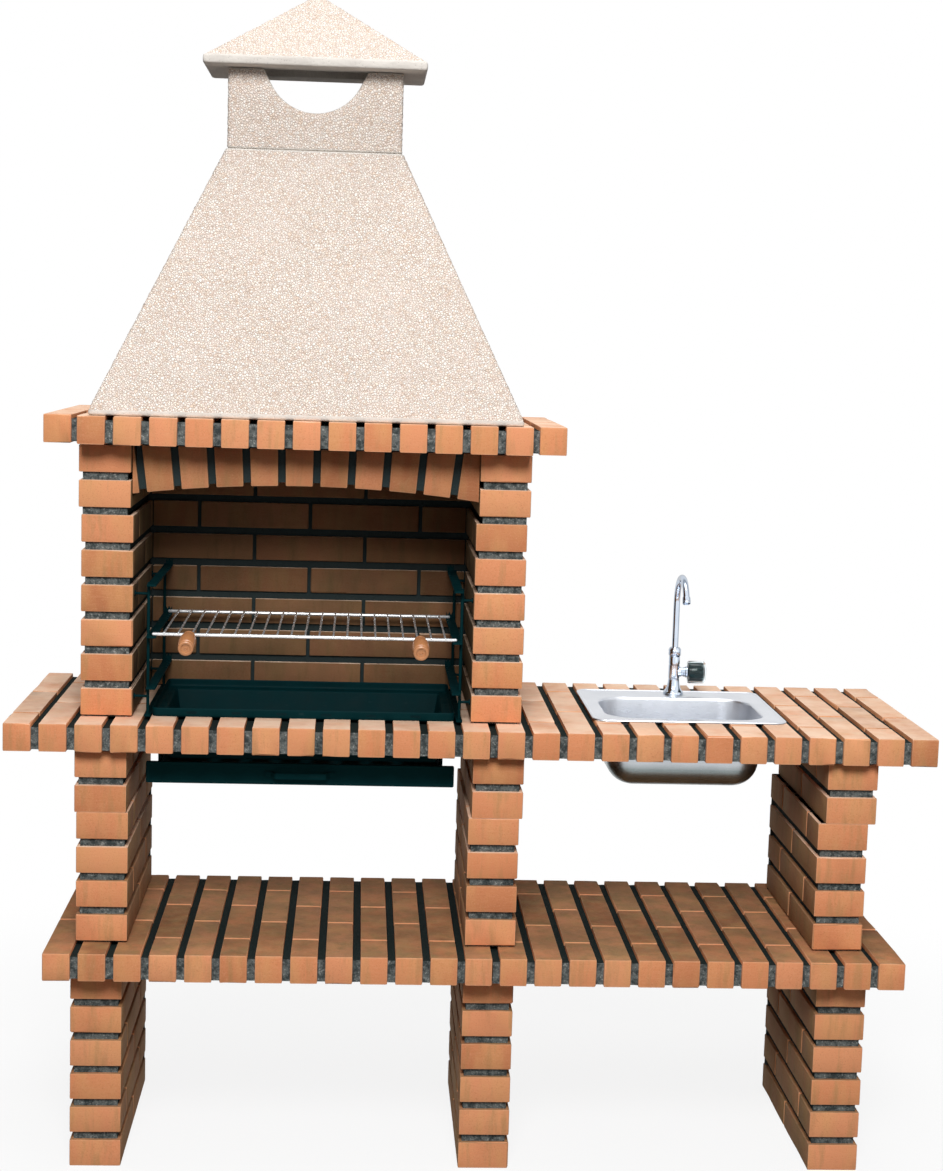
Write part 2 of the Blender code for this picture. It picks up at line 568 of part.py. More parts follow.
def arch():
    # A segmental arch: wedge bricks fan out from its centre, cut flat on top under the mantel
    left = FIREBOX_LEFT - RING_SPREAD + BRICK_WIDTH + SEAT_GAP
    right = FIREBOX_RIGHT + RING_SPREAD - BRICK_WIDTH - SEAT_GAP
    middle, half_span = (left + right) / 2, (right - left) / 2
    radius = (half_span ** 2 + ARCH_RISE ** 2) / (2 * ARCH_RISE)
    top = RING_Z + stack(RING_COURSE_COUNT)
    centre = top - ARCH_CROWN_HEIGHT - radius
    pitch = (VOUSSOIR_WIDTH + BED_JOINT) / radius
    half_wedge = VOUSSOIR_WIDTH / 2 / radius

    def on_arc(angle, reach=radius):
        return middle + reach * math.sin(angle), centre + reach * math.cos(angle)

    wedges = []
    reach = math.ceil(half_span / (VOUSSOIR_WIDTH + BED_JOINT))
    for count in range(-reach, reach + 1):
        at = ARCH_FAN_SHIFT / radius + count * pitch
        angles = [at - half_wedge + 2 * half_wedge * step / ARCH_STEPS for step in range(ARCH_STEPS + 1)]
        outline = [on_arc(angle) for angle in angles]
        for angle in (angles[-1], angles[0]):
            outline.append((middle + (top - centre) * math.tan(angle), top))
        outline = clip(clip(outline, left, 1), right, -1)
        if outline and max(x for x, z in outline) - min(x for x, z in outline) > RAKE + GLUE_BED:
            wedges.append(outline)
    y = WALL_FRONT + ARCH_SETBACK
    spread = math.asin((half_span - RAKE) / (radius + RAKE))
    steps = ARCH_STEPS * reach
    core = [on_arc(-spread + 2 * spread * step / steps, radius + RAKE) for step in range(steps + 1)]
    core += [(right - RAKE, top + GLUE_BED - SEAT_GAP), (left + RAKE, top + GLUE_BED - SEAT_GAP)]
    obj = piece("brick_arch", plate([core], BRICK_WIDTH - 2 * RAKE, along_y(y + BRICK_WIDTH / 2)), "brick")
    for number, outline in enumerate(wedges):
        join(obj, plate([outline], BRICK_WIDTH, along_y(y + BRICK_WIDTH / 2)), f"wedge_{number}")


def mantel():
    front = WALL_FRONT - MANTEL_PROJECTION
    depth, width = MANTEL_DEPTH, MANTEL_WIDTH
    left = FIREBOX_X - width / 2
    obj = slab("mantel_slab", left, front, MANTEL_Z, MANTEL_STRIPS, depth)
    flue_back = front + depth - FLUE_OPENING_BACK
    half_flue, top = FLUE_OPENING_WIDTH / 2, MANTEL_Z + BRICK_HEIGHT
    cut(obj, boxes(((FIREBOX_X - half_flue, flue_back - FLUE_OPENING_DEPTH, MANTEL_Z - OVERRUN),
                    (FIREBOX_X + half_flue, flue_back, top + OVERRUN))), "flue")
    y = front + MANTEL_END_SETBACK
    for side, strip_x, mortar_x in (("left", left - COURSE, left - COURSE + BRICK_HEIGHT - RAKE),
                                    ("right", left + width + BED_JOINT, left + width + SEAT_GAP)):
        strip = boxes(((strip_x, y, MANTEL_Z), (strip_x + BRICK_HEIGHT, front + depth, top)))
        end = piece(f"mantel_end_{side}", strip, "brick")
        mortar_right = mortar_x + BED_JOINT + RAKE - SEAT_GAP
        join(end, boxes(((mortar_x, y + RAKE, MANTEL_Z + RAKE),
                         (mortar_right, front + depth - RAKE, top - RAKE))), "joint")
    return front


def box_tube(name, levels, wall_thickness, finish):
    # A four-sided shell, open at both ends, through (half width, half depth, height) levels
    bm = bmesh.new()
    rings = [[bm.verts.new((x * half_x, y * half_y, z)) for x, y in ((-1, -1), (1, -1), (1, 1), (-1, 1))]
             for half_x, half_y, z in levels]
    for low, high in zip(rings, rings[1:]):
        for corner in range(4):
            following = (corner + 1) % 4
            bm.faces.new((low[corner], low[following], high[following], high[corner]))
    mesh = bpy.data.meshes.new(name)
    bm.to_mesh(mesh)
    bm.free()
    obj = piece(name, mesh, finish)
    thicken(obj, wall_thickness)
    return obj


def pyramid(half_x, half_y, base, height, skirt):
    # A four-sided pyramid over a shallow block, as a mesh about the Z axis
    bm = bmesh.new()
    bmesh.ops.create_cone(bm, cap_ends=True, segments=4, radius1=math.sqrt(2), radius2=0, depth=height)
    bmesh.ops.rotate(bm, verts=bm.verts, matrix=Matrix.Rotation(math.radians(45), 3, "Z"))
    bmesh.ops.scale(bm, verts=bm.verts, vec=(half_x, half_y, 1))
    bmesh.ops.translate(bm, verts=bm.verts, vec=(0, 0, base + skirt + height / 2))
    foot = min(bm.faces, key=lambda face: face.calc_center_median().z)
    lowered = bmesh.ops.extrude_face_region(bm, geom=[foot])["geom"]
    skirt_foot = [v for v in lowered if isinstance(v, bmesh.types.BMVert)]
    bmesh.ops.translate(bm, verts=skirt_foot, vec=(0, 0, -skirt))
    bmesh.ops.delete(bm, geom=[foot], context="FACES_ONLY")
    bmesh.ops.remove_doubles(bm, verts=bm.verts, dist=SEAT_GAP / 10)
    bmesh.ops.recalc_face_normals(bm, faces=bm.faces)
    mesh = bpy.data.meshes.new("pyramid")
    bm.to_mesh(mesh)
    bm.free()
    return mesh


def outlet_outline():
    # Half-round below, opening out on straight tangents to the collar's top
    bottom = OUTLET_SILL + OUTLET_RADIUS
    outline = []
    for step in range(OUTLET_ARC_STEPS + 1):
        angle = -OUTLET_ARC_HALF_ANGLE + 2 * OUTLET_ARC_HALF_ANGLE * step / OUTLET_ARC_STEPS
        outline.append((OUTLET_RADIUS * math.sin(angle), bottom - OUTLET_RADIUS * math.cos(angle)))
    rise = COLLAR_HEIGHT + OVERRUN - outline[-1][1]
    flare = rise / math.tan(OUTLET_ARC_HALF_ANGLE)
    reach = outline[-1][0] + flare
    return outline + [(reach, COLLAR_HEIGHT + OVERRUN), (-reach, COLLAR_HEIGHT + OVERRUN)]


def chimney(mantel_front):
    centre_y = mantel_front + HOOD_FRONT_SETBACK + HOOD_BASE_DEPTH / 2
    top_x, top_y = COLLAR_WIDTH / 2 + HOOD_TOP_LIP, COLLAR_DEPTH / 2 + HOOD_TOP_LIP
    base_x, base_y = HOOD_BASE_WIDTH / 2, HOOD_BASE_DEPTH / 2
    past = OVERRUN / (HOOD_HEIGHT - HOOD_BAND_HEIGHT)
    hood = box_tube("smoke_hood", ((base_x, base_y, 0), (base_x, base_y, HOOD_BAND_HEIGHT),
                                   (top_x + (top_x - base_x) * past, top_y + (top_y - base_y) * past,
                                    HOOD_HEIGHT + OVERRUN)), HOOD_WALL, "stone")
    hood.location = (FIREBOX_X, centre_y, HOOD_Z)
    cut(hood, boxes(((FIREBOX_X - base_x, centre_y - base_y, HOOD_Z + HOOD_HEIGHT),
                     (FIREBOX_X + base_x, centre_y + base_y, HOOD_Z + HOOD_HEIGHT + 2 * OVERRUN))), "top")
    half_x, half_y = COLLAR_WIDTH / 2, COLLAR_DEPTH / 2
    collar = box_tube("chimney_collar", ((half_x, half_y, 0), (half_x, half_y, COLLAR_HEIGHT)),
                      COLLAR_WALL, "stone")
    collar.location = (FIREBOX_X, centre_y, COLLAR_Z)
    outlet = helper("collar_outlet", plate([outlet_outline()], COLLAR_DEPTH + 2 * OVERRUN, along_y(0)))
    outlet.location = collar.location
    combine(collar, outlet, "DIFFERENCE")
    roof = piece("chimney_roof", pyramid(ROOF_WIDTH / 2, ROOF_DEPTH / 2, 0, ROOF_RISE, ROOF_FASCIA), "stone")
    roof.location = (FIREBOX_X, centre_y, ROOF_Z)
    hollow_x = COLLAR_WIDTH / 2 - COLLAR_WALL
    hollow_y = COLLAR_DEPTH / 2 - COLLAR_WALL
    hollow_rise = ROOF_RISE * hollow_x / (ROOF_WIDTH / 2)
    hollow = helper("roof_hollow", pyramid(hollow_x, hollow_y, -OVERRUN, hollow_rise - ROOF_SHELL, OVERRUN))
    hollow.location = roof.location
    combine(roof, hollow, "DIFFERENCE")


def rectangle_loft(name, levels, finish, thickness):
    # A pressed sheet closed by a floor, through rectangles of (half width, half depth, height).
    # They give its inner and upper faces.
    bm = bmesh.new()
    rings = [[bm.verts.new((x * half_x, y * half_y, z)) for x, y in ((-1, -1), (1, -1), (1, 1), (-1, 1))]
             for half_x, half_y, z in levels]
    for outer, inner in zip(rings, rings[1:]):
        for corner in range(4):
            following = (corner + 1) % 4
            bm.faces.new((outer[corner], outer[following], inner[following], inner[corner]))
    bm.faces.new(rings[-1])
    mesh = bpy.data.meshes.new(name)
    bm.to_mesh(mesh)
    bm.free()
    obj = piece(name, mesh, finish)
    thicken(obj, thickness)
    return obj


def charcoal_tray():
    # Set in the worktop on its flange; its floor is slotted so that ash falls into the drawer
    half_x, half_y = TRAY_WIDTH / 2, TRAY_DEPTH / 2
    pan_x, pan_y = half_x - TRAY_FLANGE, half_y - TRAY_FLANGE
    flange_z = TRAY_SHEET
    lip_x, lip_y = half_x - TRAY_SHEET, half_y - TRAY_SHEET
    tray = rectangle_loft("charcoal_tray", ((lip_x, lip_y, TRAY_LIP), (lip_x, lip_y, flange_z),
                                            (pan_x, pan_y, flange_z),
                                            (pan_x - TRAY_TAPER, pan_y - TRAY_TAPER, flange_z - TRAY_FALL)),
                          "black_steel", TRAY_SHEET)
    tray.location = (HEARTH_X, FRONT + TRAY_FROM_FRONT + half_y, HEARTH_Z + SEAT_GAP)
    centre = tray.location
    floor = centre.z - TRAY_FALL
    reach_x = pan_x - TRAY_TAPER - FLOOR_SLOT_MARGIN_X
    reach_y = pan_y - TRAY_TAPER - FLOOR_SLOT_MARGIN_Y
    slots = []
    for slot in range(FLOOR_SLOTS):
        x = centre.x + reach_x * (2 * slot / (FLOOR_SLOTS - 1) - 1)
        slots.append(((x - FLOOR_SLOT_WIDTH / 2, centre.y - reach_y, floor - OVERRUN),
                      (x + FLOOR_SLOT_WIDTH / 2, centre.y + reach_y, floor + OVERRUN)))
    cut(tray, boxes(*slots), "floor_slots")
    marks = []
    for slot in range(LIP_SLOTS):
        x = centre.x + (half_x - LIP_SLOT_MARGIN) * (2 * slot / (LIP_SLOTS - 1) - 1)
        z = centre.z + (TRAY_LIP + TRAY_SHEET) / 2
        marks.append(((x - LIP_SLOT_LENGTH / 2, centre.y - half_y - OVERRUN, z - LIP_SLOT_HEIGHT / 2),
                      (x + LIP_SLOT_LENGTH / 2, centre.y - half_y + OVERRUN, z + LIP_SLOT_HEIGHT / 2)))
    cut(tray, boxes(*marks), "lip_slots")


def ash_drawer():
    front_y = FRONT + DRAWER_FROM_FRONT
    top = WORKTOP_Z - DRAWER_BELOW_SLAB
    pan_z = top - DRAWER_FRONT_HEIGHT + (DRAWER_FRONT_HEIGHT - PAN_HEIGHT) / 2
    pan_y = front_y + DRAWER_SHEET / 2
    inner_x, inner_y = PAN_WIDTH / 2 - DRAWER_SHEET, PAN_DEPTH / 2 - DRAWER_SHEET
    drawer = rectangle_loft("ash_drawer", ((inner_x, inner_y, PAN_HEIGHT), (inner_x, inner_y, DRAWER_SHEET)),
                            "black_steel", DRAWER_SHEET)
    drawer.location = (DRAWER_X, pan_y + PAN_DEPTH / 2, pan_z)
    half_front = DRAWER_FRONT_WIDTH / 2
    edge_y = front_y + DRAWER_FRONT_EDGE
    low = top - DRAWER_FRONT_HEIGHT
    face = boxes(((DRAWER_X - half_front, front_y, low), (DRAWER_X + half_front, edge_y, top)))
    hollow = boxes(((DRAWER_X - half_front + DRAWER_SHEET, front_y + DRAWER_SHEET, low + DRAWER_SHEET),
                    (DRAWER_X + half_front - DRAWER_SHEET, edge_y + OVERRUN, top - DRAWER_SHEET)))
    front = helper("ash_drawer_front", face)
    combine(front, helper("ash_drawer_front_hollow", hollow), "DIFFERENCE")
    combine(drawer, front, "UNION")
    drawer_pull(front_y, low + DRAWER_FRONT_HEIGHT / 2)
    drawer_runners(pan_y, pan_z, top)


def drawer_pull(front_y, z):
    # A flat strap bent out at both ends, its feet face to face with the drawer's front
    sheet, reach, face = PULL_SHEET, PULL_REACH, PULL_FACE_WIDTH / 2
    root = face + PULL_SPLAY
    half = root + PULL_FOOT
    mitre = sheet * math.tan(math.atan2(reach - sheet, PULL_SPLAY) / 2)
    side = [(half, 0), (half, -sheet), (root, -sheet), (face, -reach)]
    inner = [(root - mitre, 0), (face - mitre, sheet - reach)]
    outline = side + [(-x, y) for x, y in reversed(side)] + [(-x, y) for x, y in inner] + inner[::-1]
    place = Matrix.Translation((DRAWER_X, front_y - SEAT_GAP, z))
    pull = piece("drawer_pull", plate([outline], PULL_HEIGHT, place), "black_steel")
    edges = pull.modifiers.new("edges", "BEVEL")
    edges.width, edges.segments = PULL_EDGE_RADIUS, 2
    edges.limit_method, edges.angle_limit = "ANGLE", math.radians(15)


def drawer_runners(pan_y, pan_z, top):
    # Folded strips screwed up under the slab; the drawer's pan slides on their lower edge
    web = PAN_WIDTH / 2 + RUNNER_CLEARANCE
    shelf = pan_z - SEAT_GAP - RUNNER_SHEET
    soffit = WORKTOP_Z - SEAT_GAP
    sheet = RUNNER_SHEET
    outline = [(web - RUNNER_SHELF, shelf), (web + sheet, shelf), (web + sheet, soffit - sheet),
               (web + RUNNER_FLANGE, soffit - sheet), (web + RUNNER_FLANGE, soffit), (web, soffit),
               (web, shelf + sheet), (web - RUNNER_SHELF, shelf + sheet)]
    start = pan_y + DRAWER_FRONT_EDGE
    length = PAN_DEPTH - DRAWER_FRONT_EDGE
    for side, mirror in (("left", -1), ("right", 1)):
        points = [(DRAWER_X + mirror * x, z) for x, z in outline]
        piece(f"drawer_runner_{side}", plate([points], length, along_y(start + length / 2)), "black_steel")


def rack_arm(mirror, x, top):
    # A flat bar with saw notches along its inner edge, towards the back
    front, back = FRONT + GRILL_FROM_FRONT - ARM_REACH, FRONT + REAR_UPRIGHT_FROM_FRONT
    outer, inner = x + mirror * UPRIGHT_RADIUS / 2, x - mirror * (ARM_WIDTH - UPRIGHT_RADIUS)
    outline = [(outer, front), (inner, front)]
    for notch in range(ARM_NOTCHES):
        y = back - ARM_THICKNESS - (ARM_NOTCHES - notch) * ARM_NOTCH_PITCH
        outline += [(inner, y), (inner + mirror * ARM_NOTCH_DEPTH, y + 2 * ARM_NOTCH_HALF_WIDTH),
                    (inner, y + 2 * ARM_NOTCH_HALF_WIDTH)]
    outline += [(inner, back), (outer, back)]
    return plate([outline], ARM_THICKNESS, Matrix.Translation((0, 0, top - ARM_THICKNESS / 2)))


def rack_horns(mirror, x, tops):
    # The toothed end of each arm, turned up behind the grill
    back = FRONT + REAR_UPRIGHT_FROM_FRONT
    outer, inner = x - mirror * UPRIGHT_RADIUS, x - mirror * (ARM_WIDTH - UPRIGHT_RADIUS)
    span = inner - outer
    meshes = []
    for top in tops:
        low, high = top - ARM_THICKNESS / 2, top + ARM_HORN_HEIGHT
        valley = high - ARM_NOTCH_DEPTH
        outline = [(outer, low), (inner, low), (inner, high), (inner - span / 4, valley),
                   (inner - span / 2, high), (inner - 3 * span / 4, valley), (outer, high)]
        meshes.append(plate([outline], ARM_THICKNESS, along_y(back - ARM_THICKNESS)))
    return meshes


def grill_racks():
    tops = [HEARTH_Z + height for height in ARM_HEIGHTS]
    front, back = FRONT + FRONT_UPRIGHT_FROM_FRONT, FRONT + REAR_UPRIGHT_FROM_FRONT
    foot = HEARTH_Z + SEAT_GAP
    walls = {"left": FIREBOX_LEFT + BRICK_WIDTH + SEAT_GAP, "right": FIREBOX_RIGHT - BRICK_WIDTH - SEAT_GAP}
    for side, mirror in (("left", -1), ("right", 1)):
        x = HEARTH_X + mirror * RACK_WIDTH / 2
        high = tops[-1] + ARM_THICKNESS / 2
        uprights = [((x, y, foot + RACK_FOOT_THICKNESS / 2), (x, y, high)) for y in (front, back)]
        rack = piece(f"grill_rack_{side}", rods(uprights, UPRIGHT_RADIUS, ROD_SIDES), "black_steel")
        half_foot = RACK_FOOT_WIDTH / 2
        join(rack, boxes(((x - half_foot, front - RACK_FOOT_WIDTH, foot),
                          (x + half_foot, back + half_foot, foot + RACK_FOOT_THICKNESS))), "foot")
        for number, top in enumerate(tops):
            join(rack, rack_arm(mirror, x, top), f"arm_{number}")
        for number, mesh in enumerate(rack_horns(mirror, x, tops)):
            join(rack, mesh, f"horn_{number}")
        lug_z = [tops[-1] - LUG_BELOW_ARM, tops[0] - LUG_BELOW_ARM]
        join(rack, rods([((x, y, z), (walls[side], y, z)) for y in (front, back) for z in lug_z],
                        LUG_RADIUS, ROD_SIDES), "lugs")
    return tops[1]


def grill(rest_z):
    rail_z = rest_z + SEAT_GAP + RAIL_RADIUS
    wire_z = rail_z + RAIL_RADIUS + WIRE_RADIUS - WIRE_BITE
    front = FRONT + GRILL_FROM_FRONT
    back = front + GRILL_DEPTH
    half = GRILL_WIDTH / 2
    runs = []
    for wire in range(WIRE_COUNT):
        x = HEARTH_X + (wire - (WIRE_COUNT - 1) / 2) * WIRE_PITCH
        runs.append(((x, front - WIRE_OVERHANG, wire_z), (x, back + WIRE_OVERHANG, wire_z)))
    grid = piece("grill_grid", rods(runs, WIRE_RADIUS, WIRE_SIDES), "wire")
    join(grid, rods([((HEARTH_X - half, y, rail_z), (HEARTH_X + half, y, rail_z)) for y in (front, back)],
                    RAIL_RADIUS, ROD_SIDES), "rails")
    tangs = []
    drop = Vector((0, -math.cos(HANDLE_DROP_ANGLE), -math.sin(HANDLE_DROP_ANGLE)))
    for side, mirror in (("left", -1), ("right", 1)):
        root = Vector((HEARTH_X + mirror * HANDLE_SPACING / 2, front, rail_z))
        tangs.append((root, root + drop * (HANDLE_GAP + TANG_LENGTH)))
        wooden_handle(f"grill_handle_{side}", root + drop * HANDLE_GAP, drop)
    join(grid, rods(tangs, TANG_RADIUS, ROD_SIDES), "tangs")


def wooden_handle(name, start, direction):
    # Turned wood: a neck at the tang, a full belly and a rounded outer end
    bore = TANG_RADIUS + SEAT_GAP
    length, belly = HANDLE_LENGTH, HANDLE_RADIUS
    depth = TANG_LENGTH + 2 * SEAT_GAP
    profile = [(0, length), (HANDLE_END_RADIUS * 0.8, length), (HANDLE_END_RADIUS, length * 0.96),
               (belly * 0.97, length * 0.75), (belly, length * 0.55), (belly * 0.93, length * 0.30),
               (HANDLE_NECK_RADIUS, length * 0.10), (HANDLE_NECK_RADIUS * 0.9, 0), (bore, 0),
               (bore, depth), (0, depth)]
    handle = turned(name, profile, "wood", STEPS_SMALL)
    handle.rotation_euler = direction.to_track_quat("Z", "Y").to_euler()
    handle.location = start


def rounded_ring(centre_y, half_x, half_y, corner, z):
    # Points round a rectangle with arcs at its corners
    points = []
    for quarter, (sx, sy) in enumerate(((1, 1), (-1, 1), (-1, -1), (1, -1))):
        for step in range(CORNER_STEPS + 1):
            angle = math.radians(90) * (quarter + step / CORNER_STEPS)
            points.append((sx * (half_x - corner) + corner * math.cos(angle),
                           centre_y + sy * (half_y - corner) + corner * math.sin(angle), z))
    return points


def sink():
    # One pressed sheet: beaded rim, flat deck, deep bowl with a dished floor and a drain hole
    half_x, half_y = SINK_WIDTH / 2, SINK_DEPTH / 2
    bowl_x, bowl_y = BOWL_WIDTH / 2, BOWL_DEPTH / 2
    bead, edge = SINK_BEAD_WIDTH, BOWL_EDGE_RADIUS
    deck = SINK_SHEET
    levels = [rounded_ring(0, half_x, half_y, SINK_CORNER, deck),
              rounded_ring(0, half_x - bead / 4, half_y - bead / 4, SINK_CORNER - bead / 4, SINK_BEAD_HEIGHT),
              rounded_ring(0, half_x - bead / 2, half_y - bead / 2, SINK_CORNER - bead / 2, SINK_BEAD_HEIGHT),
              rounded_ring(0, half_x - bead, half_y - bead, SINK_CORNER - bead, deck),
              rounded_ring(-BOWL_FORWARD, bowl_x + edge, bowl_y + edge, BOWL_CORNER + edge, deck),
              rounded_ring(-BOWL_FORWARD, bowl_x + edge * 0.3, bowl_y + edge * 0.3, BOWL_CORNER,
                           deck - edge * 0.3),
              rounded_ring(-BOWL_FORWARD, bowl_x, bowl_y, BOWL_CORNER, deck - edge)]
    low_x, low_y = bowl_x - BOWL_TAPER, bowl_y - BOWL_TAPER
    arc, steps = BOWL_FLOOR_RADIUS, CORNER_STEPS
    for step in range(steps + 1):
        angle = math.radians(90) * step / steps
        inset = arc * (1 - math.cos(angle))
        levels.append(rounded_ring(-BOWL_FORWARD, low_x - inset, low_y - inset, BOWL_CORNER - inset,
                                   deck - BOWL_FALL + arc - arc * math.sin(angle)))
    for radius, drop in ((WASTE_FLANGE_RADIUS * 1.15, 0), (WASTE_FLANGE_RADIUS + SEAT_GAP, DRAIN_DISH),
                         (DRAIN_RADIUS, DRAIN_DISH)):
        levels.append(rounded_ring(-BOWL_FORWARD, radius, radius, radius, deck - BOWL_FALL - drop))
    bm = bmesh.new()
    rings = [[bm.verts.new(point) for point in level] for level in levels]
    count = len(rings[0])
    for outer, inner in zip(rings, rings[1:]):
        for corner in range(count):
            following = (corner + 1) % count
            bm.faces.new((outer[corner], outer[following], inner[following], inner[corner]))
    mesh = bpy.data.meshes.new("sink_bowl")
    bm.to_mesh(mesh)
    bm.free()
    mesh.shade_smooth()
    bowl = piece("sink_bowl", mesh, "stainless")
    thicken(bowl, SINK_SHEET)
    bowl.location = (SINK_X, SINK_Y, HEARTH_Z + SEAT_GAP)
    cut(bowl, rods([((TAP_X, TAP_Y, DECK_Z - OVERRUN), (TAP_X, TAP_Y, DECK_Z + OVERRUN))], TAP_HOLE_RADIUS,
                   STEPS_ROUND), "tap_hole")


def sink_waste():
    # Flange in the bowl's dish, threaded tube below, nut under the bowl, lift-out strainer on top
    x, y = SINK_X, SINK_Y - BOWL_FORWARD
    seat = DECK_Z - BOWL_FALL - DRAIN_DISH
    tube_in = WASTE_TUBE_RADIUS - WASTE_WALL
    high = WASTE_FLANGE_HEIGHT
    flange, tube_end = WASTE_FLANGE_RADIUS - SEAT_GAP, -WASTE_TUBE_LENGTH
    profile = [(tube_in, high / 2), (WASTE_FLANGE_RADIUS * 0.8, high), (flange, high / 2), (flange, 0),
               (WASTE_TUBE_RADIUS, 0), (WASTE_TUBE_RADIUS, tube_end), (tube_in, tube_end)]
    waste = turned("waste_fitting", profile, "stainless", closed=True)
    waste.location = (x, y, seat + SEAT_GAP)
    under = seat - SINK_SHEET - SEAT_GAP
    nut_in = WASTE_TUBE_RADIUS + SEAT_GAP
    profile = [(nut_in, 0), (WASTE_NUT_RADIUS, 0), (WASTE_NUT_RADIUS, -WASTE_NUT_HEIGHT * 0.4),
               (WASTE_NUT_RADIUS * 0.86, -WASTE_NUT_HEIGHT), (nut_in, -WASTE_NUT_HEIGHT)]
    nut = turned("waste_nut", profile, "white_plastic", closed=True)
    nut.location = (x, y, under)
    rim = high + SEAT_GAP
    plug, knob, knob_high = STRAINER_RADIUS, STRAINER_KNOB_RADIUS, STRAINER_KNOB_HEIGHT
    profile = [(0, rim + knob_high), (knob, rim + knob_high), (knob, rim + knob_high * 0.7),
               (knob * 0.5, rim + knob_high * 0.6), (knob * 0.5, rim + high),
               (STRAINER_RIM_RADIUS * 0.7, rim + high), (STRAINER_RIM_RADIUS, rim), (plug, rim),
               (plug, rim - STRAINER_HEIGHT), (0, rim - STRAINER_HEIGHT)]
    strainer = turned("sink_strainer", profile, "stainless")
    strainer.location = (x, y, seat + SEAT_GAP)


def tap():
    tap_body()
    top = DECK_Z + TAP_BODY_HEIGHT
    nut_in = SPOUT_RADIUS + SEAT_GAP
    outer, high = SPOUT_NUT_RADIUS, SPOUT_NUT_HEIGHT
    profile = [(nut_in, high), (outer * 0.8, high), (outer, high * 0.75), (outer, high * 0.2),
               (outer * 0.85, 0), (nut_in, 0)]
    nut = turned("spout_nut", profile, "chrome", closed=True)
    nut.location = (TAP_X, TAP_Y, top + SEAT_GAP)
    spout_and_aerator(top)
    valve_and_knob()


def tap_body():
    # Flared foot, waist and barrel in one turned piece, with a branch to the right for the valve
    waist = TAP_WAIST_RADIUS
    socket = SPOUT_RADIUS + SEAT_GAP
    high = TAP_BODY_HEIGHT
    flare = [(TAP_BASE_RADIUS, TAP_BASE_HEIGHT), (TAP_BASE_RADIUS, 0)]
    curve = []
    for step in range(4):
        share = step / 4
        curve.append((waist + (TAP_BASE_RADIUS - waist) * share ** 2,
                      TAP_WAIST_HEIGHT + (TAP_BASE_HEIGHT - TAP_WAIST_HEIGHT) * share))
    body = turned("tap_body", [(0, high - SPOUT_SOCKET), (socket, high - SPOUT_SOCKET), (socket, high),
                               (waist * 0.93, high), (waist, high * 0.96)] + curve + flare
                  + [(SHANK_RADIUS, 0), (SHANK_RADIUS, -SHANK_LENGTH), (0, -SHANK_LENGTH)], "chrome")
    body.location = (TAP_X, TAP_Y, DECK_Z + SEAT_GAP)
    branch_z = DECK_Z + BRANCH_HEIGHT
    end = TAP_X + waist + BRANCH_REACH
    run = ((TAP_X + waist / 2, TAP_Y, branch_z), (end, TAP_Y, branch_z))
    join(body, rods([run], BRANCH_RADIUS, STEPS_SMALL), "branch")
    cut(body, rods([((end - SPOUT_SOCKET, TAP_Y, branch_z), (end + OVERRUN, TAP_Y, branch_z))],
                   STEM_RADIUS + SEAT_GAP, STEPS_SMALL), "stem_bore")
    under = DECK_Z - SINK_SHEET - SEAT_GAP
    backnut = turned("tap_backnut", [(0, 0), (BACKNUT_RADIUS, 0), (BACKNUT_RADIUS, -BACKNUT_HEIGHT),
                                     (0, -BACKNUT_HEIGHT)], "chrome", NUT_SIDES)
    backnut.location = (TAP_X, TAP_Y, under)
    cut(backnut, rods([((TAP_X, TAP_Y, under - OVERRUN), (TAP_X, TAP_Y, under + OVERRUN))],
                      SHANK_RADIUS + SEAT_GAP, STEPS_ROUND), "bore")


def spout_and_aerator(top):
    # The spout turns in the body about the riser's axis, so its origin is on that axis
    foot = -SPOUT_SOCKET + 2 * SEAT_GAP
    rise = SPOUT_RISE - TAP_BODY_HEIGHT
    points = [Vector((0, 0, foot)), Vector((0, 0, rise / 2)), Vector((0, 0, rise))]
    centre = Vector((0, -SPOUT_BEND_RADIUS, rise))
    for step in range(1, SPOUT_BEND_STEPS + 1):
        angle = SPOUT_BEND_ANGLE * step / SPOUT_BEND_STEPS
        points.append(centre + SPOUT_BEND_RADIUS * Vector((0, math.cos(angle), math.sin(angle))))
    heading = Vector((0, -math.sin(SPOUT_BEND_ANGLE), math.cos(SPOUT_BEND_ANGLE)))
    bend_end = points[-1]
    points.append(bend_end + heading * SPOUT_TAIL)
    spout = piece("tap_spout", tube(points, SPOUT_RADIUS, 3), "chrome")
    spout.location = (TAP_X, TAP_Y, top + SEAT_GAP)
    bore = SPOUT_RADIUS + SEAT_GAP
    outer, lip = AERATOR_RADIUS, AERATOR_RADIUS - AERATOR_WALL
    length, seat = AERATOR_LENGTH, SPOUT_TAIL + SEAT_GAP
    profile = [(0, length * 0.8), (lip, length * 0.8), (lip, length), (outer, length), (outer, outer / 4),
               (outer - AERATOR_SIDE / 3, 0), (bore, 0), (bore, seat), (0, seat)]
    aerator = turned("tap_aerator", profile, "chrome", STEPS_SMALL)
    aerator.rotation_euler = heading.to_track_quat("Z", "Y").to_euler()
    aerator.location = spout.location + bend_end


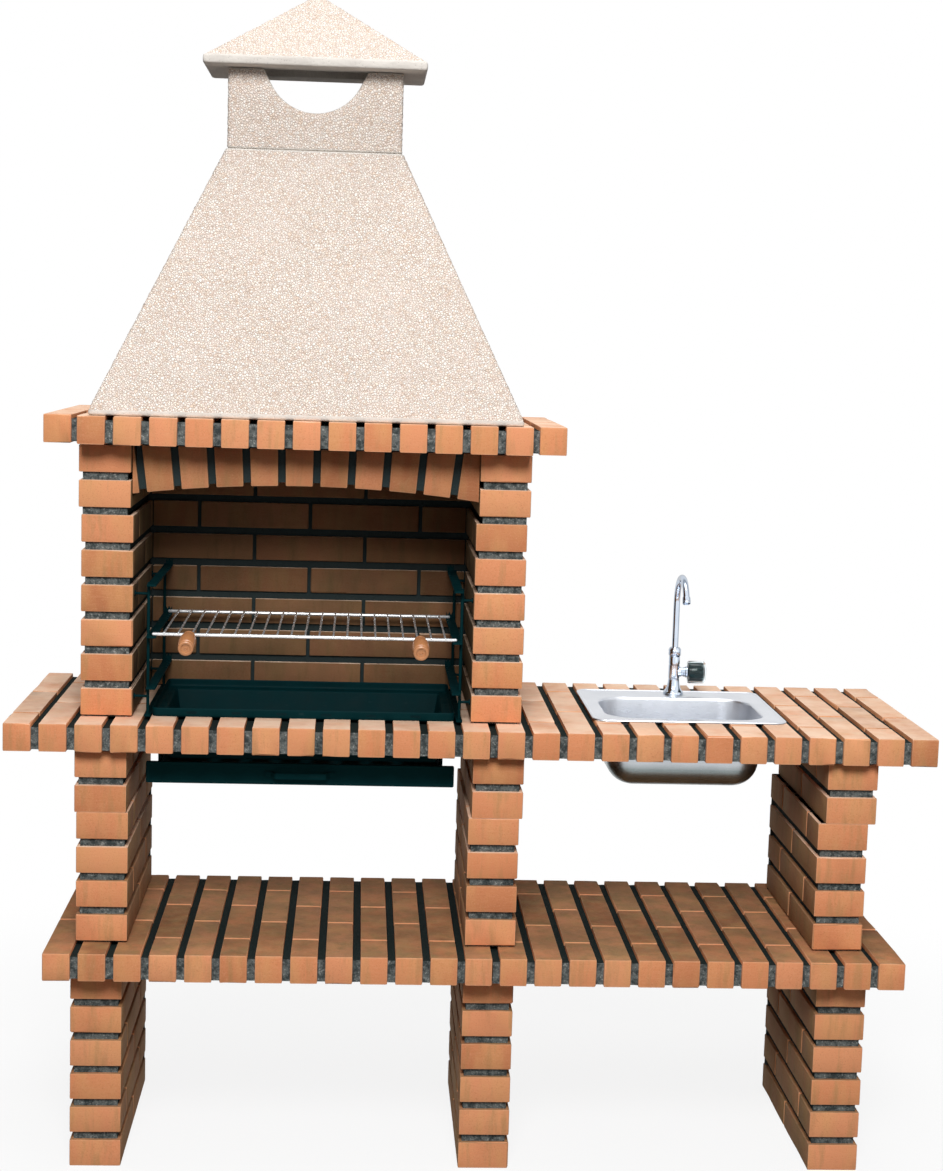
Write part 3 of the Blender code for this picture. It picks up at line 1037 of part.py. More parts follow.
def valve_and_knob():
    # The valve's axis runs along X; the knob turns on it
    branch_end = TAP_X + TAP_WAIST_RADIUS + BRANCH_REACH
    place = (branch_end + SEAT_GAP, TAP_Y, DECK_Z + BRANCH_HEIGHT)
    turn = Matrix.Rotation(math.radians(90), 4, "Y")
    bore = STEM_RADIUS + SEAT_GAP
    profile = [(bore, BONNET_LENGTH), (BONNET_RADIUS * 0.8, BONNET_LENGTH),
               (BONNET_RADIUS, BONNET_LENGTH * 0.6), (BONNET_RADIUS, 0), (bore, 0)]
    bonnet = turned("tap_bonnet", profile, "chrome", STEPS_SMALL, closed=True)
    start = BONNET_LENGTH + SEAT_GAP
    stem = rods([((0, 0, -SPOUT_SOCKET + 2 * SEAT_GAP), (0, 0, STEM_LENGTH))], STEM_RADIUS, STEPS_SMALL)
    spindle = piece("tap_spindle", stem, "chrome")
    core_end = start + KNOB_CORE_LENGTH
    steps = 2 * KNOB_FLUTES
    outline = []
    for step in range(steps):
        radius = KNOB_CORE_RADIUS - KNOB_FLUTE_DEPTH * (step % 2)
        angle = math.radians(360) * step / steps
        outline.append((radius * math.cos(angle), radius * math.sin(angle)))
    middle = Matrix.Translation((0, 0, (start + core_end) / 2))
    core = piece("tap_knob_core", plate([outline], KNOB_CORE_LENGTH, middle), "dark_plastic")
    stem_hole = rods([((0, 0, start - OVERRUN), (0, 0, STEM_LENGTH + SEAT_GAP))], bore, STEPS_SMALL)
    cut(core, stem_hole, "stem_bore")
    inner, high = KNOB_RADIUS - KNOB_WALL, start + KNOB_LENGTH
    profile = [(0, high), (KNOB_RADIUS * 0.75, high - KNOB_WALL / 2), (KNOB_RADIUS, high - KNOB_WALL * 2),
               (KNOB_RADIUS, start + KNOB_WALL), (KNOB_RADIUS - KNOB_WALL / 2, start), (inner, start),
               (inner, core_end + SEAT_GAP), (0, core_end + SEAT_GAP)]
    shell = turned("tap_knob_shell", profile, "clear_plastic")
    for obj in (bonnet, spindle, core, shell):
        obj.rotation_euler = turn.to_euler()
        obj.location = place
    bore_cutter = bpy.data.objects["tap_knob_core_stem_bore"]
    bore_cutter.rotation_euler = turn.to_euler()
    bore_cutter.location = place


shelf_places = legs()
slabs(*shelf_places)
firebox()
arch()
chimney(mantel())
charcoal_tray()
ash_drawer()
grill(grill_racks())
sink()
sink_waste()
tap()
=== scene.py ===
# Outdoor masonry barbecue with a sink. Metres, Z up, the cook stands on the -Y side.
import math
import random

import bmesh
import bpy
from mathutils import Matrix, Vector, noise


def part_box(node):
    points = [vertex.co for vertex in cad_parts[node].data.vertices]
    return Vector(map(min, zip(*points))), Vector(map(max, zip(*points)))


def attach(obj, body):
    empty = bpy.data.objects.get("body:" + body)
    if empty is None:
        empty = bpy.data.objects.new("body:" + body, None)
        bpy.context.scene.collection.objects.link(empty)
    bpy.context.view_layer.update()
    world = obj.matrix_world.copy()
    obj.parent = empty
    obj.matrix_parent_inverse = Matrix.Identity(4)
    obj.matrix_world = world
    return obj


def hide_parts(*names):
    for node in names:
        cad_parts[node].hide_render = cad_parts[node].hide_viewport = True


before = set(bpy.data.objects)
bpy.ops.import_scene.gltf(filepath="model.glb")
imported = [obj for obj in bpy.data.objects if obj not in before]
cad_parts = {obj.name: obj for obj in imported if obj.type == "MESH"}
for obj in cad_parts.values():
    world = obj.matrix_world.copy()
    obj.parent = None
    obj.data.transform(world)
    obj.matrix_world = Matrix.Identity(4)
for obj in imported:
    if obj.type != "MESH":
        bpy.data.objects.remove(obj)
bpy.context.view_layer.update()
print("frame loaded")

quarter = math.radians(90)


class Nodes:
    # Fills a node tree
    def __init__(self, tree):
        self.tree = tree

    def add(self, kind, inputs=None, **settings):
        # inputs: socket name or number -> value or another node's output
        node = self.tree.nodes.new(kind)
        for name, value in settings.items():
            setattr(node, name, value)
        for socket, value in (inputs or {}).items():
            if isinstance(value, bpy.types.NodeSocket):
                self.tree.links.new(value, node.inputs[socket])
            else:
                node.inputs[socket].default_value = value
        return node

    def maths(self, operation, first, second=0.0, clamp=False):
        return self.add("ShaderNodeMath", {0: first, 1: second}, operation=operation, use_clamp=clamp).outputs[0]

    def vector(self, operation, *inputs):
        return self.add("ShaderNodeVectorMath", dict(enumerate(inputs)), operation=operation).outputs[0]

    def split(self, vector):
        return self.add("ShaderNodeSeparateXYZ", {0: vector}).outputs

    def thrice(self, value):
        return self.add("ShaderNodeCombineXYZ", {0: value, 1: value, 2: value}).outputs[0]


class Coat(Nodes):
    # One procedural material, on Object coordinates; each bump lies on the one before it
    def __init__(self, name, shader):
        self.material = bpy.data.materials.new(name)
        self.material.use_nodes = True
        super().__init__(self.material.node_tree)
        self.shader = self.tree.nodes["Principled BSDF"].inputs
        for socket, value in shader.items():
            self.shader[socket].default_value = value
        self.point = self.add("ShaderNodeTexCoord").outputs["Object"]
        self.relief, self.body = {}, None

    def grain(self, scale, detail=3.0, rough=0.6):
        # scale: one number, or three that stretch the grain
        point = self.point if isinstance(scale, float) else self.vector("MULTIPLY", self.point, scale)
        return self.add("ShaderNodeTexNoise", {"Vector": point, "Scale": scale if isinstance(scale, float) else 1.0,
                                               "Detail": detail, "Roughness": rough}).outputs["Fac"]

    def cells(self, point, scale, feature="F1"):
        return self.add("ShaderNodeTexVoronoi", {"Vector": point, "Scale": scale}, feature=feature).outputs

    def facing(self):
        return self.split(self.add("ShaderNodeNewGeometry").outputs["Normal"])

    def ramp(self, factor, *stops):
        # stops: (position, colour), the colour a grey or (r, g, b)
        node = self.add("ShaderNodeValToRGB", {"Fac": factor})
        elements = node.color_ramp.elements
        while len(elements) < len(stops):
            elements.new(0.5)
        for element, (place, colour) in zip(elements, stops):
            element.position = place
            element.color = (*(colour if isinstance(colour, tuple) else [colour] * 3), 1)
        return node.outputs["Color"]

    def mix(self, factor, first, second, mode="MIX"):
        node = self.add("ShaderNodeMix", data_type="RGBA", blend_type=mode)
        sockets = [node.inputs[0], *[s for s in node.inputs if s.type == "RGBA"]]
        for socket, value in zip(sockets, (factor, first, second)):
            if isinstance(value, bpy.types.NodeSocket):
                self.tree.links.new(value, socket)
            else:
                socket.default_value = (*value, 1)
        return next(s for s in node.outputs if s.type == "RGBA")

    def over(self, factor, colour, *stops, mode="MIX"):
        # Lays a colour over the body, as far as the factor's ramp says
        self.body = self.mix(self.ramp(factor, *stops) if stops else factor, self.body, colour, mode)

    def bump(self, height, distance, strength):
        self.relief = {"Normal": self.add("ShaderNodeBump", {
            "Height": height, "Distance": distance, "Strength": strength, **self.relief}).outputs["Normal"]}

    def finished(self, factor=None, *stops):
        # The factor's ramp gives the roughness
        self.tree.links.new(self.body, self.shader["Base Color"])
        self.tree.links.new(self.relief["Normal"], self.shader["Normal"])
        if factor:
            self.tree.links.new(self.ramp(factor, *stops), self.shader["Roughness"])
        return self.material


clay = {
    "deep": (0.46, 0.165, 0.068), "orange": (0.70, 0.258, 0.112), "salmon": (0.77, 0.305, 0.146),
    # the pale colour on the next line serves both wear and the edges' painted highlight
    "straw": (0.70, 0.350, 0.140), "olive": (0.36, 0.22, 0.085), "worn": (0.80, 0.42, 0.24),
    # the firebox tint on the next line stands for soot and painted shade
    # the side-face tint on the next line is painted shade
    "apricot": (0.75, 0.325, 0.150), "sootShadeTint": (0.15, 0.20, 0.20), "skin": (0.42, 0.56, 0.56),
    # the top tints on the next line are painted light for the worktop and painted shade for the shelf
    "paintedTopLight": (0.93, 0.70, 0.53), "paintedShelfShade": (0.46, 0.57, 0.58), "worktop": 0.6, "mouth": -0.180, "fade": 0.028,
}


def brickClay():
    coat = Coat("brickClay", {"Roughness": 0.82, "Specular IOR Level": 0.2})
    tone, edge = (coat.add("ShaderNodeAttribute", attribute_name=name).outputs["Fac"] for name in ("tone", "edge"))
    sootAndShade, height = sootAndShadeInside(coat), coat.split(coat.point)["Z"]
    coat.point = coat.vector("ADD", coat.point, coat.vector("MULTIPLY", coat.thrice(tone), (37, 53, 71)))
    flash, kiln = coat.grain((22, 22, 6), 2.0), coat.grain((46, 46, 8))        # upright bands from the kiln
    drag, speck = coat.grain((40, 40, 900), 2.0), coat.grain(420.0, 4.0, 0.7)  # wire-cut drag lines
    coat.body = coat.ramp(tone, (0.0, clay["deep"]), (0.22, clay["orange"]), (0.80, clay["salmon"]), (1.0, clay["apricot"]))
    for factor, colour, *stops in ((flash, "straw", (0.42, 0.0), (0.66, 0.55)), (kiln, "olive", (0.52, 0.0), (0.72, 0.50)),
                                   (drag, "worn", (0.35, 0.0), (0.75, 0.18)), (speck, "deep", (0.30, 0.60), (0.44, 0.0)),
                                   (speck, "worn", (0.56, 0.0), (0.70, 0.40))):
        coat.over(factor, clay[colour], *stops)
    # wear and painted highlight: the rounded edges are lightened
    coat.over(coat.maths("MULTIPLY", edge, coat.ramp(coat.grain(60.0), (0.3, 0.2), (0.6, 0.7))), clay["worn"])
    # soot and painted shade inside the firebox
    coat.over(sootAndShade, clay["sootShadeTint"], mode="MULTIPLY")
    across = coat.facing()
    sideShade = coat.maths("ABSOLUTE", across["X"])                                # painted shade on the long faces, which look to the sides
    for node in ("shelf_slab_left", "worktop_hearth_slab", "mantel_slab"):     # but not those of the slabs' strips
        bottom, top = (corner[2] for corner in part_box(node))
        strip = coat.add("ShaderNodeMath", {0: height, 1: (top + bottom) / 2, 2: (top - bottom) / 2 + 0.001},
                         operation="COMPARE").outputs[0]
        sideShade = coat.maths("SUBTRACT", sideShade, strip, clamp=True)
    # painted shade: the side-facing brick faces are multiplied darker
    coat.over(sideShade, clay["skin"], (0.6, 0.0), (0.85, 0.9), mode="MULTIPLY")
    flat, cloud = coat.ramp(across["Z"], (0.6, 0.0), (0.85, 1.0)), coat.grain(14.0)
    aloft = coat.maths("GREATER_THAN", height, clay["worktop"])
    litTops = coat.maths("MULTIPLY", flat, aloft)                               # painted light on the worktop's tops, painted shade on the shelf's tops
    shadedTops = coat.maths("MULTIPLY", flat, coat.maths("SUBTRACT", 1.0, aloft))
    # painted light: upward faces above worktop height are lightened
    coat.over(coat.maths("MULTIPLY", litTops, coat.ramp(cloud, (0.3, 0.35), (0.65, 0.85))), clay["paintedTopLight"])
    # painted shade: upward faces lower down, on the shelf under the worktop, are darkened
    coat.over(coat.maths("MULTIPLY", shadedTops, coat.ramp(cloud, (0.35, 0.6), (0.6, 1.0))), clay["paintedShelfShade"], mode="MULTIPLY")
    coat.bump(coat.grain(90.0, 4.0), 0.0012, 0.5)
    coat.bump(coat.maths("ADD", speck, drag), 0.0004, 0.5)
    return coat.finished(speck, (0.3, 0.92), (0.7, 0.72))


def sootAndShadeInside(coat):
    # How much soot and painted shade darken the bricks: full inside the firebox, fading out at its mouth
    fade = clay["fade"]
    low = (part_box("firebox_wall_left")[1][0] - fade, clay["mouth"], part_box("worktop_hearth_slab")[1][2] - fade / 2)
    high = (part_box("firebox_wall_right")[0][0] + fade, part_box("firebox_wall_back")[0][1] + fade,
            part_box("hearth_ring_back")[1][2] + fade)
    axes, inside = coat.split(coat.point), None
    for axis in range(3):
        for side, edge in ((1, low[axis]), (-1, high[axis])):
            deep = coat.maths("MULTIPLY", coat.maths("SUBTRACT", axes[axis], edge), side / fade, clamp=True)
            inside = coat.maths("MULTIPLY", inside, deep) if inside else deep
    height = coat.maths("DIVIDE", coat.maths("SUBTRACT", axes["Z"], low[2]), high[2] - low[2])
    # the painted shade is strongest low down; higher up the mantel and arch already shade the bricks
    strong = coat.ramp(height, (0.0, 1.0), (0.45, 0.95), (0.9, 0.62))
    uneven = coat.ramp(coat.grain(7.0), (0.3, 1.0), (0.7, 0.84))
    return coat.maths("MULTIPLY", inside, coat.maths("MULTIPLY", strong, uneven))


def jointMortar():
    # Lighter and flecked on the front faces; dark on tops and sides, which is painted shade
    coat = Coat("jointMortar", {"Roughness": 0.95, "Specular IOR Level": 0.1})
    sand, patch, fleck = coat.grain(520.0, 3.0, 0.8), coat.grain(75.0, 4.0, 0.7), coat.grain((210, 210, 210), 3.0, 0.75)
    dark = coat.mix(sand, (0.002, 0.007, 0.007), (0.022, 0.034, 0.032))
    coat.body = coat.mix(sand, (0.045, 0.058, 0.058), (0.24, 0.26, 0.25))
    coat.over(fleck, (0.42, 0.44, 0.42), (0.54, 0.0), (0.66, 0.85))
    coat.over(patch, (0.022, 0.032, 0.034), (0.44, 0.0), (0.60, 0.80))
    # painted shade: mortar that does not face the front gets the dark colour
    front = coat.ramp(coat.maths("MULTIPLY", coat.facing()["Y"], -1.0), (0.35, 0.0), (0.7, 1.0))
    coat.body = coat.mix(front, dark, coat.body)
    coat.bump(patch, 0.004, 0.9)
    coat.bump(coat.maths("ADD", sand, fleck), 0.0015, 1.0)
    return coat.finished()


def darkJoint():
    # Near-black mortar inside the firebox and in the arch: painted shade of deep, unlit joints
    coat = Coat("darkJoint", {"Roughness": 0.8, "Specular IOR Level": 0.25})
    sand = coat.grain(600.0, 3.0, 0.8)
    # painted shade: near-black body colour
    coat.body = coat.mix(sand, (0.002, 0.007, 0.008), (0.03, 0.045, 0.045))
    coat.bump(coat.grain(60.0), 0.003, 0.8)
    coat.bump(sand, 0.001, 1.0)
    return coat.finished()


pebbles = {"scale": 225.0, "cream": (0.97, 0.86, 0.74), "white": (0.98, 0.94, 0.88), "pink": (0.96, 0.81, 0.73),
           "tan": (0.86, 0.67, 0.53), "grey": (0.76, 0.64, 0.55), "cement": (0.46, 0.33, 0.26)}


def pebbleStone():
    coat = Coat("pebbleStone", {"Roughness": 0.8, "Specular IOR Level": 0.3})
    scale, cream, white, pink, tan, grey, cement = pebbles.values()
    warp = coat.add("ShaderNodeTexNoise", {"Vector": coat.point, "Scale": 260.0, "Detail": 1.0}).outputs["Color"]
    bent = coat.vector("MULTIPLY_ADD", warp, (0.0035, 0.0035, 0.0035), coat.point)
    kind = coat.add("ShaderNodeSeparateColor", {0: coat.cells(bent, scale)["Color"]}).outputs
    gaps, veins = coat.cells(bent, scale, "DISTANCE_TO_EDGE")["Distance"], coat.grain(900.0, 2.0)
    coat.body = coat.ramp(kind[0], (0.0, cream), (0.32, white), (0.60, pink), (0.78, cream), (0.90, tan), (1.0, grey))
    coat.over(kind[1], white, (0.0, 0.0), (1.0, 0.35))
    coat.over(veins, tan, (0.4, 0.0), (0.8, 0.25))
    coat.over(gaps, cement, (0.0, 1.0), (0.13, 0.0))
    coat.over(coat.grain(7.0), pink, (0.45, 0.0), (0.8, 0.22))
    coat.bump(coat.maths("MINIMUM", gaps, 0.35), 0.0050, 0.9)
    coat.bump(veins, 0.0004, 0.6)
    return coat.finished(kind[2], (0.0, 0.65), (1.0, 0.92))


def castCement():
    coat = Coat("castCement", {"Roughness": 0.9, "Specular IOR Level": 0.2})
    pores = coat.cells(coat.point, 190.0)["Distance"]
    coat.body = coat.mix(coat.grain(14.0, 4.0), (0.50, 0.46, 0.42), (0.84, 0.79, 0.73))
    coat.over(pores, (0.30, 0.27, 0.25), (0.05, 0.6), (0.22, 0.0))
    coat.bump(pores, 0.0012, 0.5)
    coat.bump(coat.grain(500.0), 0.0006, 0.7)
    return coat.finished()


def blackSteel(name, deep, light):
    # Stove paint, dark green-black, with streaks of dust and rubbed bright on some spots
    coat = Coat(name, {"Roughness": 0.55, "Specular IOR Level": 0.03})
    cloud = coat.grain(22.0, 4.0)
    coat.body = coat.mix(cloud, deep, light)
    coat.over(coat.grain((25, 90, 90), 5.0, 0.7), (0.035, 0.060, 0.064), (0.62, 0.0), (0.78, 0.4))
    coat.bump(coat.grain(520.0, 2.0), 0.0005, 0.35)
    return coat.finished(cloud, (0.3, 0.42), (0.7, 0.62))


def platedWire():
    coat = Coat("platedWire", {"Metallic": 0.6, "Roughness": 0.25})
    cloud = coat.grain(70.0, 4.0)
    coat.body = coat.mix(cloud, (0.62, 0.64, 0.66), (0.90, 0.91, 0.92))
    coat.over(coat.grain(33.0), (0.40, 0.36, 0.30), (0.6, 0.0), (0.8, 0.6))
    coat.bump(coat.grain((900, 120, 900), 2.0), 0.0002, 0.4)
    return coat.finished(cloud, (0.3, 0.16), (0.7, 0.38))


def satinStainless():
    coat = Coat("satinStainless", {"Metallic": 1.0, "Roughness": 0.3})
    cloud, brushed = coat.grain(16.0), coat.grain((60, 1500, 1500), 3.0, 0.7)
    coat.body = coat.mix(cloud, (0.56, 0.58, 0.62), (0.74, 0.76, 0.80))
    under = coat.mix(cloud, (0.17, 0.21, 0.21), (0.28, 0.33, 0.33))            # painted shade: darker where the faces look down
    coat.over(coat.maths("MULTIPLY", coat.facing()["Z"], -1.0, clamp=True), under, (0.0, 0.0), (0.25, 0.9))
    coat.bump(brushed, 0.0001, 0.35)
    return coat.finished(brushed, (0.3, 0.24), (0.7, 0.40))


def polishedChrome():
    # Painted reflection: bright where it faces the eye, with painted dark bands of a room along its turned-away sides
    coat = Coat("polishedChrome", {"Metallic": 1.0, "Roughness": 0.06})
    away, smear = coat.add("ShaderNodeLayerWeight", {"Blend": 0.5}).outputs["Facing"], coat.grain((90, 90, 30), 4.0)
    # painted reflection: the bluish tint stands in for the colour of its reflections
    coat.body = coat.mix(coat.grain(60.0), (0.60, 0.69, 0.82), (0.80, 0.87, 0.97))
    coat.over(away, (0.10, 0.13, 0.18), (0.22, 0.0), (0.42, 0.80), (0.55, 0.25), (0.70, 0.35), (0.88, 0.92))
    coat.bump(smear, 0.0003, 0.15)
    return coat.finished(smear, (0.35, 0.04), (0.75, 0.16))


def turnedWood():
    # Grain runs along each handle, front to back; the end grain shows rings
    coat = Coat("turnedWood", {"Roughness": 0.45, "Coat Weight": 0.35, "Coat Roughness": 0.25})
    rings = coat.add("ShaderNodeTexWave", {
        "Vector": coat.vector("MULTIPLY", coat.point, (1, 0.05, 1)), "Scale": 260.0, "Distortion": 5.0, "Detail": 3.0,
        "Detail Scale": 1.4}, wave_type="RINGS", rings_direction="Y").outputs["Fac"]
    fibre = coat.grain((700, 40, 700))
    coat.body = coat.mix(rings, (0.34, 0.115, 0.038), (0.58, 0.25, 0.095))
    coat.over(fibre, (0.70, 0.36, 0.17), (0.35, 0.0), (0.7, 0.4))
    coat.bump(fibre, 0.0002, 0.5)
    return coat.finished(fibre, (0.3, 0.55), (0.7, 0.36))


def plastic(name, shader, cloud, colours, fine, relief, *stops):
    coat = Coat(name, shader)
    cloud = coat.grain(cloud)
    coat.body = coat.mix(cloud, *colours)
    coat.bump(coat.grain(fine), *relief)
    return coat.finished(cloud, *stops)


finish = {
    "clay": brickClay(), "mortar": jointMortar(), "soot": darkJoint(), "pebble": pebbleStone(), "cement": castCement(),
    "black": blackSteel("blackSteel", (0.0005, 0.013, 0.015), (0.0020, 0.026, 0.030)),
    # painted light: a lighter copy of the black steel, for the drawer and its pull in the shade under the slab
    "drawerPaint": blackSteel("drawerPaint", (0.0020, 0.032, 0.037), (0.0050, 0.052, 0.058)),
    "wire": platedWire(), "stainless": satinStainless(), "chrome": polishedChrome(), "wood": turnedWood(),
    "dark": plastic("darkPlastic", {"Roughness": 0.3, "Specular IOR Level": 0.12}, 120.0,
                    ((0.002, 0.010, 0.012), (0.008, 0.026, 0.027)), 900.0, (0.0001, 0.3), (0.3, 0.22), (0.7, 0.38)),
    "clear": plastic("clearPlastic", {"Roughness": 0.04, "Transmission Weight": 1.0, "IOR": 1.22}, 90.0,
                     ((0.84, 0.92, 0.94), (0.94, 0.98, 0.99)), 240.0, (0.0001, 0.25), (0.4, 0.01), (0.8, 0.07)),
    "white": plastic("whitePlastic", {"Roughness": 0.4}, 60.0, ((0.66, 0.66, 0.63), (0.80, 0.80, 0.78)), 700.0,
                     (0.0002, 0.3), (0.3, 0.34), (0.7, 0.5)),
}
print("materials made")


def meshOf(name, build):
    # build(bm) fills an empty bmesh
    bm = bmesh.new()
    build(bm)
    bmesh.ops.recalc_face_normals(bm, faces=bm.faces)
    mesh = bpy.data.meshes.new(name)
    bm.to_mesh(mesh)
    bm.free()
    return mesh


def addObject(name, mesh, *materials):
    obj = bpy.data.objects.new(name, mesh)
    bpy.context.scene.collection.objects.link(obj)
    mesh.materials.clear()
    for material in materials:
        mesh.materials.append(finish[material])
    return obj


def addShape(name, build, *materials):
    return addObject(name, meshOf(name, build), *materials)


def modify(obj, kind, **settings):
    modifier = obj.modifiers.new(kind.lower(), kind)
    for name, value in settings.items():
        setattr(modifier, name, value)
    return modifier


def bake(obj):
    # Applies every modifier, so the object is one plain mesh
    bpy.context.view_layer.update()
    graph, old = bpy.context.evaluated_depsgraph_get(), obj.data
    mesh = bpy.data.meshes.new_from_object(obj.evaluated_get(graph), preserve_all_data_layers=True, depsgraph=graph)
    obj.modifiers.clear()
    obj.data = mesh
    if old.users == 0:
        bpy.data.meshes.remove(old)
    return obj


def absorb(obj, other):
    # Joins the other object's mesh into the first
    with bpy.context.temp_override(active_object=obj, object=obj, selected_editable_objects=[obj, other],
                                   selected_objects=[obj, other]):
        bpy.ops.object.join()
    return obj


def carve(obj, build):
    # Cuts away the shape that build(bm) makes
    tool = addShape("tool", build)
    modify(obj, "BOOLEAN", operation="DIFFERENCE", solver="EXACT", object=tool)
    bake(obj)
    mesh = tool.data
    bpy.data.objects.remove(tool)
    bpy.data.meshes.remove(mesh)
    return obj


def standFor(obj, node, body="masonry", smooth=None):
    # The finished piece takes the CAD node's place and rides on its body
    if smooth:
        obj.data.shade_smooth()
        obj.data.set_sharp_from_angle(angle=math.radians(smooth))
    obj.name = node + "_look"
    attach(obj, body)
    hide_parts(node)
    return obj


def fit(node, build, material, body="masonry", smooth=35):
    return standFor(addShape(node + "_look", build, material), node, body, smooth)


def boxOf(node):
    # Low and high corner, middle and half size of a CAD node
    low, high = (Vector(corner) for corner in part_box(node))
    return low, high, (low + high) / 2, [(high[axis] - low[axis]) / 2 for axis in range(3)]


def moved(x, y, z, turn=0, axis="X"):
    return Matrix.Translation((x, y, z)) @ Matrix.Rotation(turn, 4, axis)


def latticeBox(bm, low, high, step, shape=Vector):
    # A closed box with evenly divided faces; shape moves each point
    low, high = Vector(low), Vector(high)
    size = high - low
    counts = [max(1, round(size[axis] / step)) for axis in range(3)]
    points = {}

    def corner(key):
        if key not in points:
            points[key] = bm.verts.new(shape([low[a] + size[a] * key[a] / counts[a] for a in range(3)]))
        return points[key]

    for axis in range(3):
        u, v = (axis + 1) % 3, (axis + 2) % 3
        for side in (0, counts[axis]):
            for i in range(counts[u]):
                for j in range(counts[v]):
                    key, quad = [0, 0, 0], []
                    key[axis] = side
                    for du, dv in ((0, 0), (1, 0), (1, 1), (0, 1)):
                        key[u], key[v] = i + du, j + dv
                        quad.append(corner(tuple(key)))
                    bm.faces.new(quad)


brick = {"length": 0.220, "width": 0.098, "height": 0.052, "joint": 0.0135, "perpend": 0.0055, "cut": 0.107,
         "rake": 0.007, "struck": 0.002, "plug": 0.014, "bedding": 0.0014, "bed": 0.0027, "ringBed": 0.0132,
         "loop": 0.9, "edgeRadius": 0.0024, "waviness": 0.0007, "chips": 0.0030, "shrink": 0.0003,
         "grit": 0.011, "gritDepth": 0.0016, "clear": 0.02}
course = brick["height"] + brick["joint"]


def unitBrick(bm, *inner, shape=Vector):
    # Two units on each side, cut at the inner places of each axis and just inside every edge for its rounding
    cuts = [(-1, -brick["loop"], *row, brick["loop"], 1) for row in inner]
    latticeBox(bm, (0, 0, 0), [len(row) - 1 for row in cuts], 1.0,
               lambda key: shape([row[round(place)] for row, place in zip(cuts, key)]))


class Layer(Nodes):
    # A Geometry Nodes tree that sets an object on points, its inputs set by socket identifier
    def __init__(self, name, **kinds):
        super().__init__(bpy.data.node_groups.new(name, "GeometryNodeTree"))
        self.sockets = {label: self.tree.interface.new_socket(label, in_out="INPUT", socket_type="NodeSocket" + kind)
                        .identifier for label, kind in kinds.items()}
        self.tree.interface.new_socket("Geometry", in_out="OUTPUT", socket_type="NodeSocketGeometry")
        self.given = self.tree.nodes.new("NodeGroupInput").outputs
        chance = self.add("FunctionNodeRandomValue", {"Seed": self.given["seed"]}, data_type="FLOAT")
        self.chance = next(s for s in chance.outputs if s.enabled)

    def store(self, geometry, name, value, kind="FLOAT"):
        node = self.add("GeometryNodeStoreNamedAttribute", {"Geometry": geometry, "Name": name}, data_type=kind,
                        domain="POINT")
        self.tree.links.new(value, next(s for s in node.inputs if s.name == "Value" and s.enabled))
        return node.outputs["Geometry"]

    def stored(self, name):
        node = self.add("GeometryNodeInputNamedAttribute", {"Name": name}, data_type="FLOAT_VECTOR")
        return next(s for s in node.outputs if s.name == "Attribute" and s.enabled)

    def laid(self, points, rotation):
        part = self.add("GeometryNodeObjectInfo", {"Object": self.given["part"]}).outputs["Geometry"]
        placed = self.add("GeometryNodeInstanceOnPoints", {"Points": points, "Instance": part, "Rotation": rotation})
        return self.add("GeometryNodeRealizeInstances", {0: placed.outputs[0]}).outputs[0]

    def finished(self, geometry):
        painted = self.add("GeometryNodeSetMaterial", {"Geometry": geometry, "Material": self.given["material"]})
        self.tree.links.new(painted.outputs[0], self.tree.nodes.new("NodeGroupOutput").inputs[0])
        return self

    def lay(self, obj, **values):
        modifier = modify(obj, "NODES", node_group=self.tree)
        for label, value in values.items():
            modifier[self.sockets[label]] = value
        return bake(obj)


def brickLayer():
    # A brick on every point, each with its own size, tone and worn edges
    layer = Layer("layBricks", points="Geometry", part="Object", edgeRadius="Float", waviness="Float", chips="Float",
                  seed="Int", material="Material")
    given, vector, maths, loop = layer.given, layer.vector, layer.maths, brick["loop"]

    def times(value, factor):
        return layer.add("ShaderNodeVectorMath", {0: value, "Scale": factor}, operation="SCALE").outputs[0]

    def clouds(scale, detail):
        return layer.add("ShaderNodeTexNoise", {"Vector": spot, "Scale": scale, "Detail": detail}).outputs["Fac"]

    position, one = layer.add("GeometryNodeInputPosition").outputs[0], (1, 1, 1)
    points = layer.store(given["points"], "tone", layer.chance)
    points = layer.store(points, "centre", position, "FLOAT_VECTOR")
    solid = layer.laid(points, layer.stored("turn"))
    centre, half = layer.stored("centre"), layer.stored("half")
    local = vector("SUBTRACT", position, centre)
    reach, side = vector("ABSOLUTE", local), vector("SIGN", local)
    inner = vector("MULTIPLY", vector("MINIMUM", times(reach, 1 / loop), one),
                   vector("SUBTRACT", half, layer.thrice(given["edgeRadius"])))
    rim = times(vector("SUBTRACT", reach, (loop, loop, loop)), 1 / (1 - loop))
    outer = vector("MAXIMUM", vector("MINIMUM", rim, one), (0, 0, 0))
    away, parts = vector("NORMALIZE", outer), layer.split(outer)
    edge = maths("SUBTRACT", maths("ADD", maths("ADD", parts[0], parts[1]), parts[2]), 1.0)
    spot = vector("ADD", centre, vector("MULTIPLY", side, vector("ADD", inner, times(away, given["edgeRadius"]))))
    bite = maths("MULTIPLY", maths("MAXIMUM", maths("SUBTRACT", clouds(75.0, 2.0), 0.60), 0.0),
                 maths("MINIMUM", edge, 1.0))
    inwards = maths("ADD", maths("MULTIPLY", clouds(26.0, 1.0), given["waviness"]),
                    maths("MULTIPLY", maths("MULTIPLY", bite, 5.0), given["chips"]))
    spot = vector("SUBTRACT", spot, vector("MULTIPLY", side, times(away, inwards)))
    worn = layer.store(solid, "edge", edge)
    return layer.finished(layer.add("GeometryNodeSetPosition", {"Geometry": worn, "Position": spot}).outputs[0])


